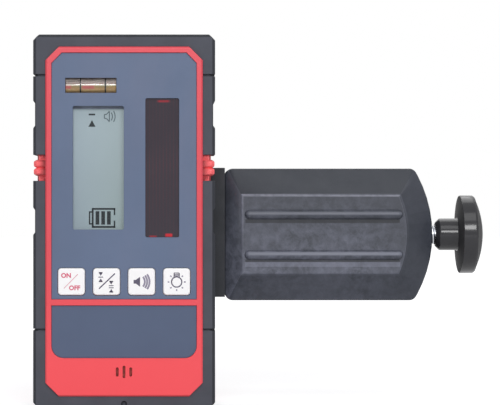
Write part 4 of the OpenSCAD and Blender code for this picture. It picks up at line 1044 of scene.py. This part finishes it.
def makeVialTube(look):
    # the fluid wets the bore, so no bore shows and only the outer skin is made
    low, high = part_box("vial_tube")
    radius = (high.z - low.z) / 2
    bm = bmesh.new()
    bmesh.ops.create_cone(bm, cap_ends=True, segments=look["sides"], radius1=radius, radius2=radius,
                          depth=high.x - low.x, matrix=alongX((low + high) / 2))
    caps = [f for f in bm.faces if abs(f.normal.x) > 0.9]
    bmesh.ops.inset_region(bm, faces=caps, thickness=look["ends"] * 2)
    roundOff(bm, sharpEdges(bm, 60), look["ends"], 4)
    faceOut(bm)
    addPiece("vialTube", bm, "clearTube", "receiver", ("vial_tube",))


makeVialTube(tubeLook)


# the foam pad in the battery door

doorPadLook = {"rows": (18, 6), "edgeShare": 0.55, "pull": 0.25 * mm, "fill": 0.5, "rim": 0.99}


def makeDoorPad(look):
    # a thin crowned pad, flat where it is glued to the door
    low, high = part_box("door_pad")
    middle, half = (low + high) / 2, (high - low) / 2
    bm = bmesh.new()
    bmesh.ops.create_grid(bm, x_segments=look["rows"][0], y_segments=look["rows"][1], size=1.0,
                          matrix=Matrix.Translation((middle.x, high.y, middle.z))
                          @ Matrix.Rotation(math.pi / 2, 4, "X") @ Matrix.Diagonal((half.x, half.z, 1, 1)))

    def shares(vert):
        return (vert.co.x - middle.x) / half.x, (vert.co.z - middle.z) / half.z

    for vert in extruded(bm):
        across, up = shares(vert)
        crown = (1 - across ** 4) * (1 - up ** 4)
        vert.co.y = high.y - 2 * half.y * (look["edgeShare"] + (1 - look["edgeShare"]) * crown)
    for vert in bm.verts:
        across, up = shares(vert)
        if abs(up) > look["rim"]:
            vert.co.z -= math.copysign(look["pull"] * (1 - across ** 2), up)
        if abs(across) > look["rim"]:
            vert.co.x -= math.copysign(look["pull"] * (1 - up ** 2), across)
    faceOut(bm)
    pad = addPiece("doorPad", bm, "softFoam", "battery_door", ("door_pad",), 60.0)
    rounder = pad.modifiers.new("softer", "SUBSURF")
    rounder.levels = rounder.render_levels = 1


makeDoorPad(doorPadLook)
print("door pad made")


# finishes of the CAD nodes that stay

keptFinishes = {
    "platedSteel": ("housing_screws", "board_screws", "battery_contacts", "battery_springs", "door_pin",
                    "mount_washer", "bracket_screws", "screw_clip"),
    "turnedBrass": ("mount_insert", "clamp_nut"), "padRubber": ("housing_seal",), "clearLens": ("lcd_lens",),
    "displayGlass": ("lcd_glass",), "whitePlastic": ("lcd_backlight",), "smokedFilter": ("sensor_filter",),
    "boardGreen": ("sensor_board", "main_board"), "darkChip": ("photodiodes", "board_chips"),
    "blackPlastic": ("sensor_spacers", "vial_lines", "key_switches", "buzzer", "battery_tray"),
    "vialFluid": ("vial_fluid", "vial_plugs"), "dustMesh": ("buzzer_mesh",), "cellSleeve": ("battery_cells",)}
for finish, nodes in keptFinishes.items():
    for node in nodes:
        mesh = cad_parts[node].data
        mesh.materials.clear()
        mesh.materials.append(finishes[finish])
print("CAD nodes kept:", sum(len(nodes) for nodes in keptFinishes.values()))


# floor, light and background

floorLook = {"half": 4.0, "drop": 0.1 * mm, "color": (208, 208, 210), "rough": 0.9, "from": 0.15, "reach": 1.4,
             "near": 0.62, "far": 0.9}
white = (255, 255, 255)


def seenDirectly(tree):
    # 1 where the camera, a gloss or a clear piece sees the background
    path = addNode(tree, "LightPath").outputs
    both = counted(tree, "MAXIMUM", path["Is Camera Ray"], path["Is Glossy Ray"])
    return counted(tree, "MAXIMUM", both, path["Is Transmission Ray"])


def makeFloor(look):
    bm = bmesh.new()
    bmesh.ops.create_grid(bm, x_segments=1, y_segments=1, size=look["half"],
                          matrix=Matrix.Translation((0, 0, -look["drop"])))
    mesh = bpy.data.meshes.new("paleFloor")
    bm.to_mesh(mesh)
    bm.free()
    tree, shader, place = startMaterial("paleFloor")
    length = addNode(tree, "VectorMath", {0: place}, operation="LENGTH").outputs["Value"]
    glow = mapped(tree, length, look["from"], look["reach"], look["near"], look["far"])
    feed(tree, shader, {
        "Base Color": look["color"], "Roughness": look["rough"], "Specular IOR Level": 0.0,
        "Emission Color": white, "Emission Strength": times(tree, glow, seenDirectly(tree))})
    mesh.materials.append(finishes["paleFloor"])
    floor = bpy.data.objects.new("paleFloor", mesh)
    scene.collection.objects.link(floor)


makeFloor(floorLook)

studioLook = {"ambient": (0.31, 0.31, 0.315, 1.0)}


def makeStudio(look):
    world = bpy.data.worlds.new("studio")
    scene.world = world
    world.use_nodes = True
    tree = world.node_tree
    tree.nodes.clear()
    soft, seen = [addNode(tree, "Background", {"Color": color, "Strength": 1.0}).outputs["Background"]
                  for color in (look["ambient"], white)]
    mixed = addNode(tree, "MixShader", {"Fac": seenDirectly(tree), 1: soft, 2: seen})
    addNode(tree, "OutputWorld", {"Surface": mixed.outputs["Shader"]})


makeStudio(studioLook)

lampLooks = {  # a place, a size and a power
    "stripLamp": ((0.24, -1.75, 0.76), (1.2, 0.42), 18.0),
    "softLamp": ((0.2, -1.2, 1.7), (1.6, 0.9), 8.0),
    "backLamp": ((-0.1, 1.0, 1.4), (1.2, 1.2), 6.0)}
lampTarget = Vector((0.05, 0.0, 0.08))


def makeLamp(name, place, size, power):
    data = bpy.data.lights.new(name, "AREA")
    data.shape = "RECTANGLE"
    data.size, data.size_y = size
    data.energy = power
    lamp = bpy.data.objects.new(name, data)
    lamp.location = place
    lamp.rotation_euler = (lampTarget - Vector(place)).to_track_quat("-Z", "Y").to_euler()
    scene.collection.objects.link(lamp)


for lampName, lampLook in lampLooks.items():
    makeLamp(lampName, *lampLook)
print("lamps:", len(lampLooks))
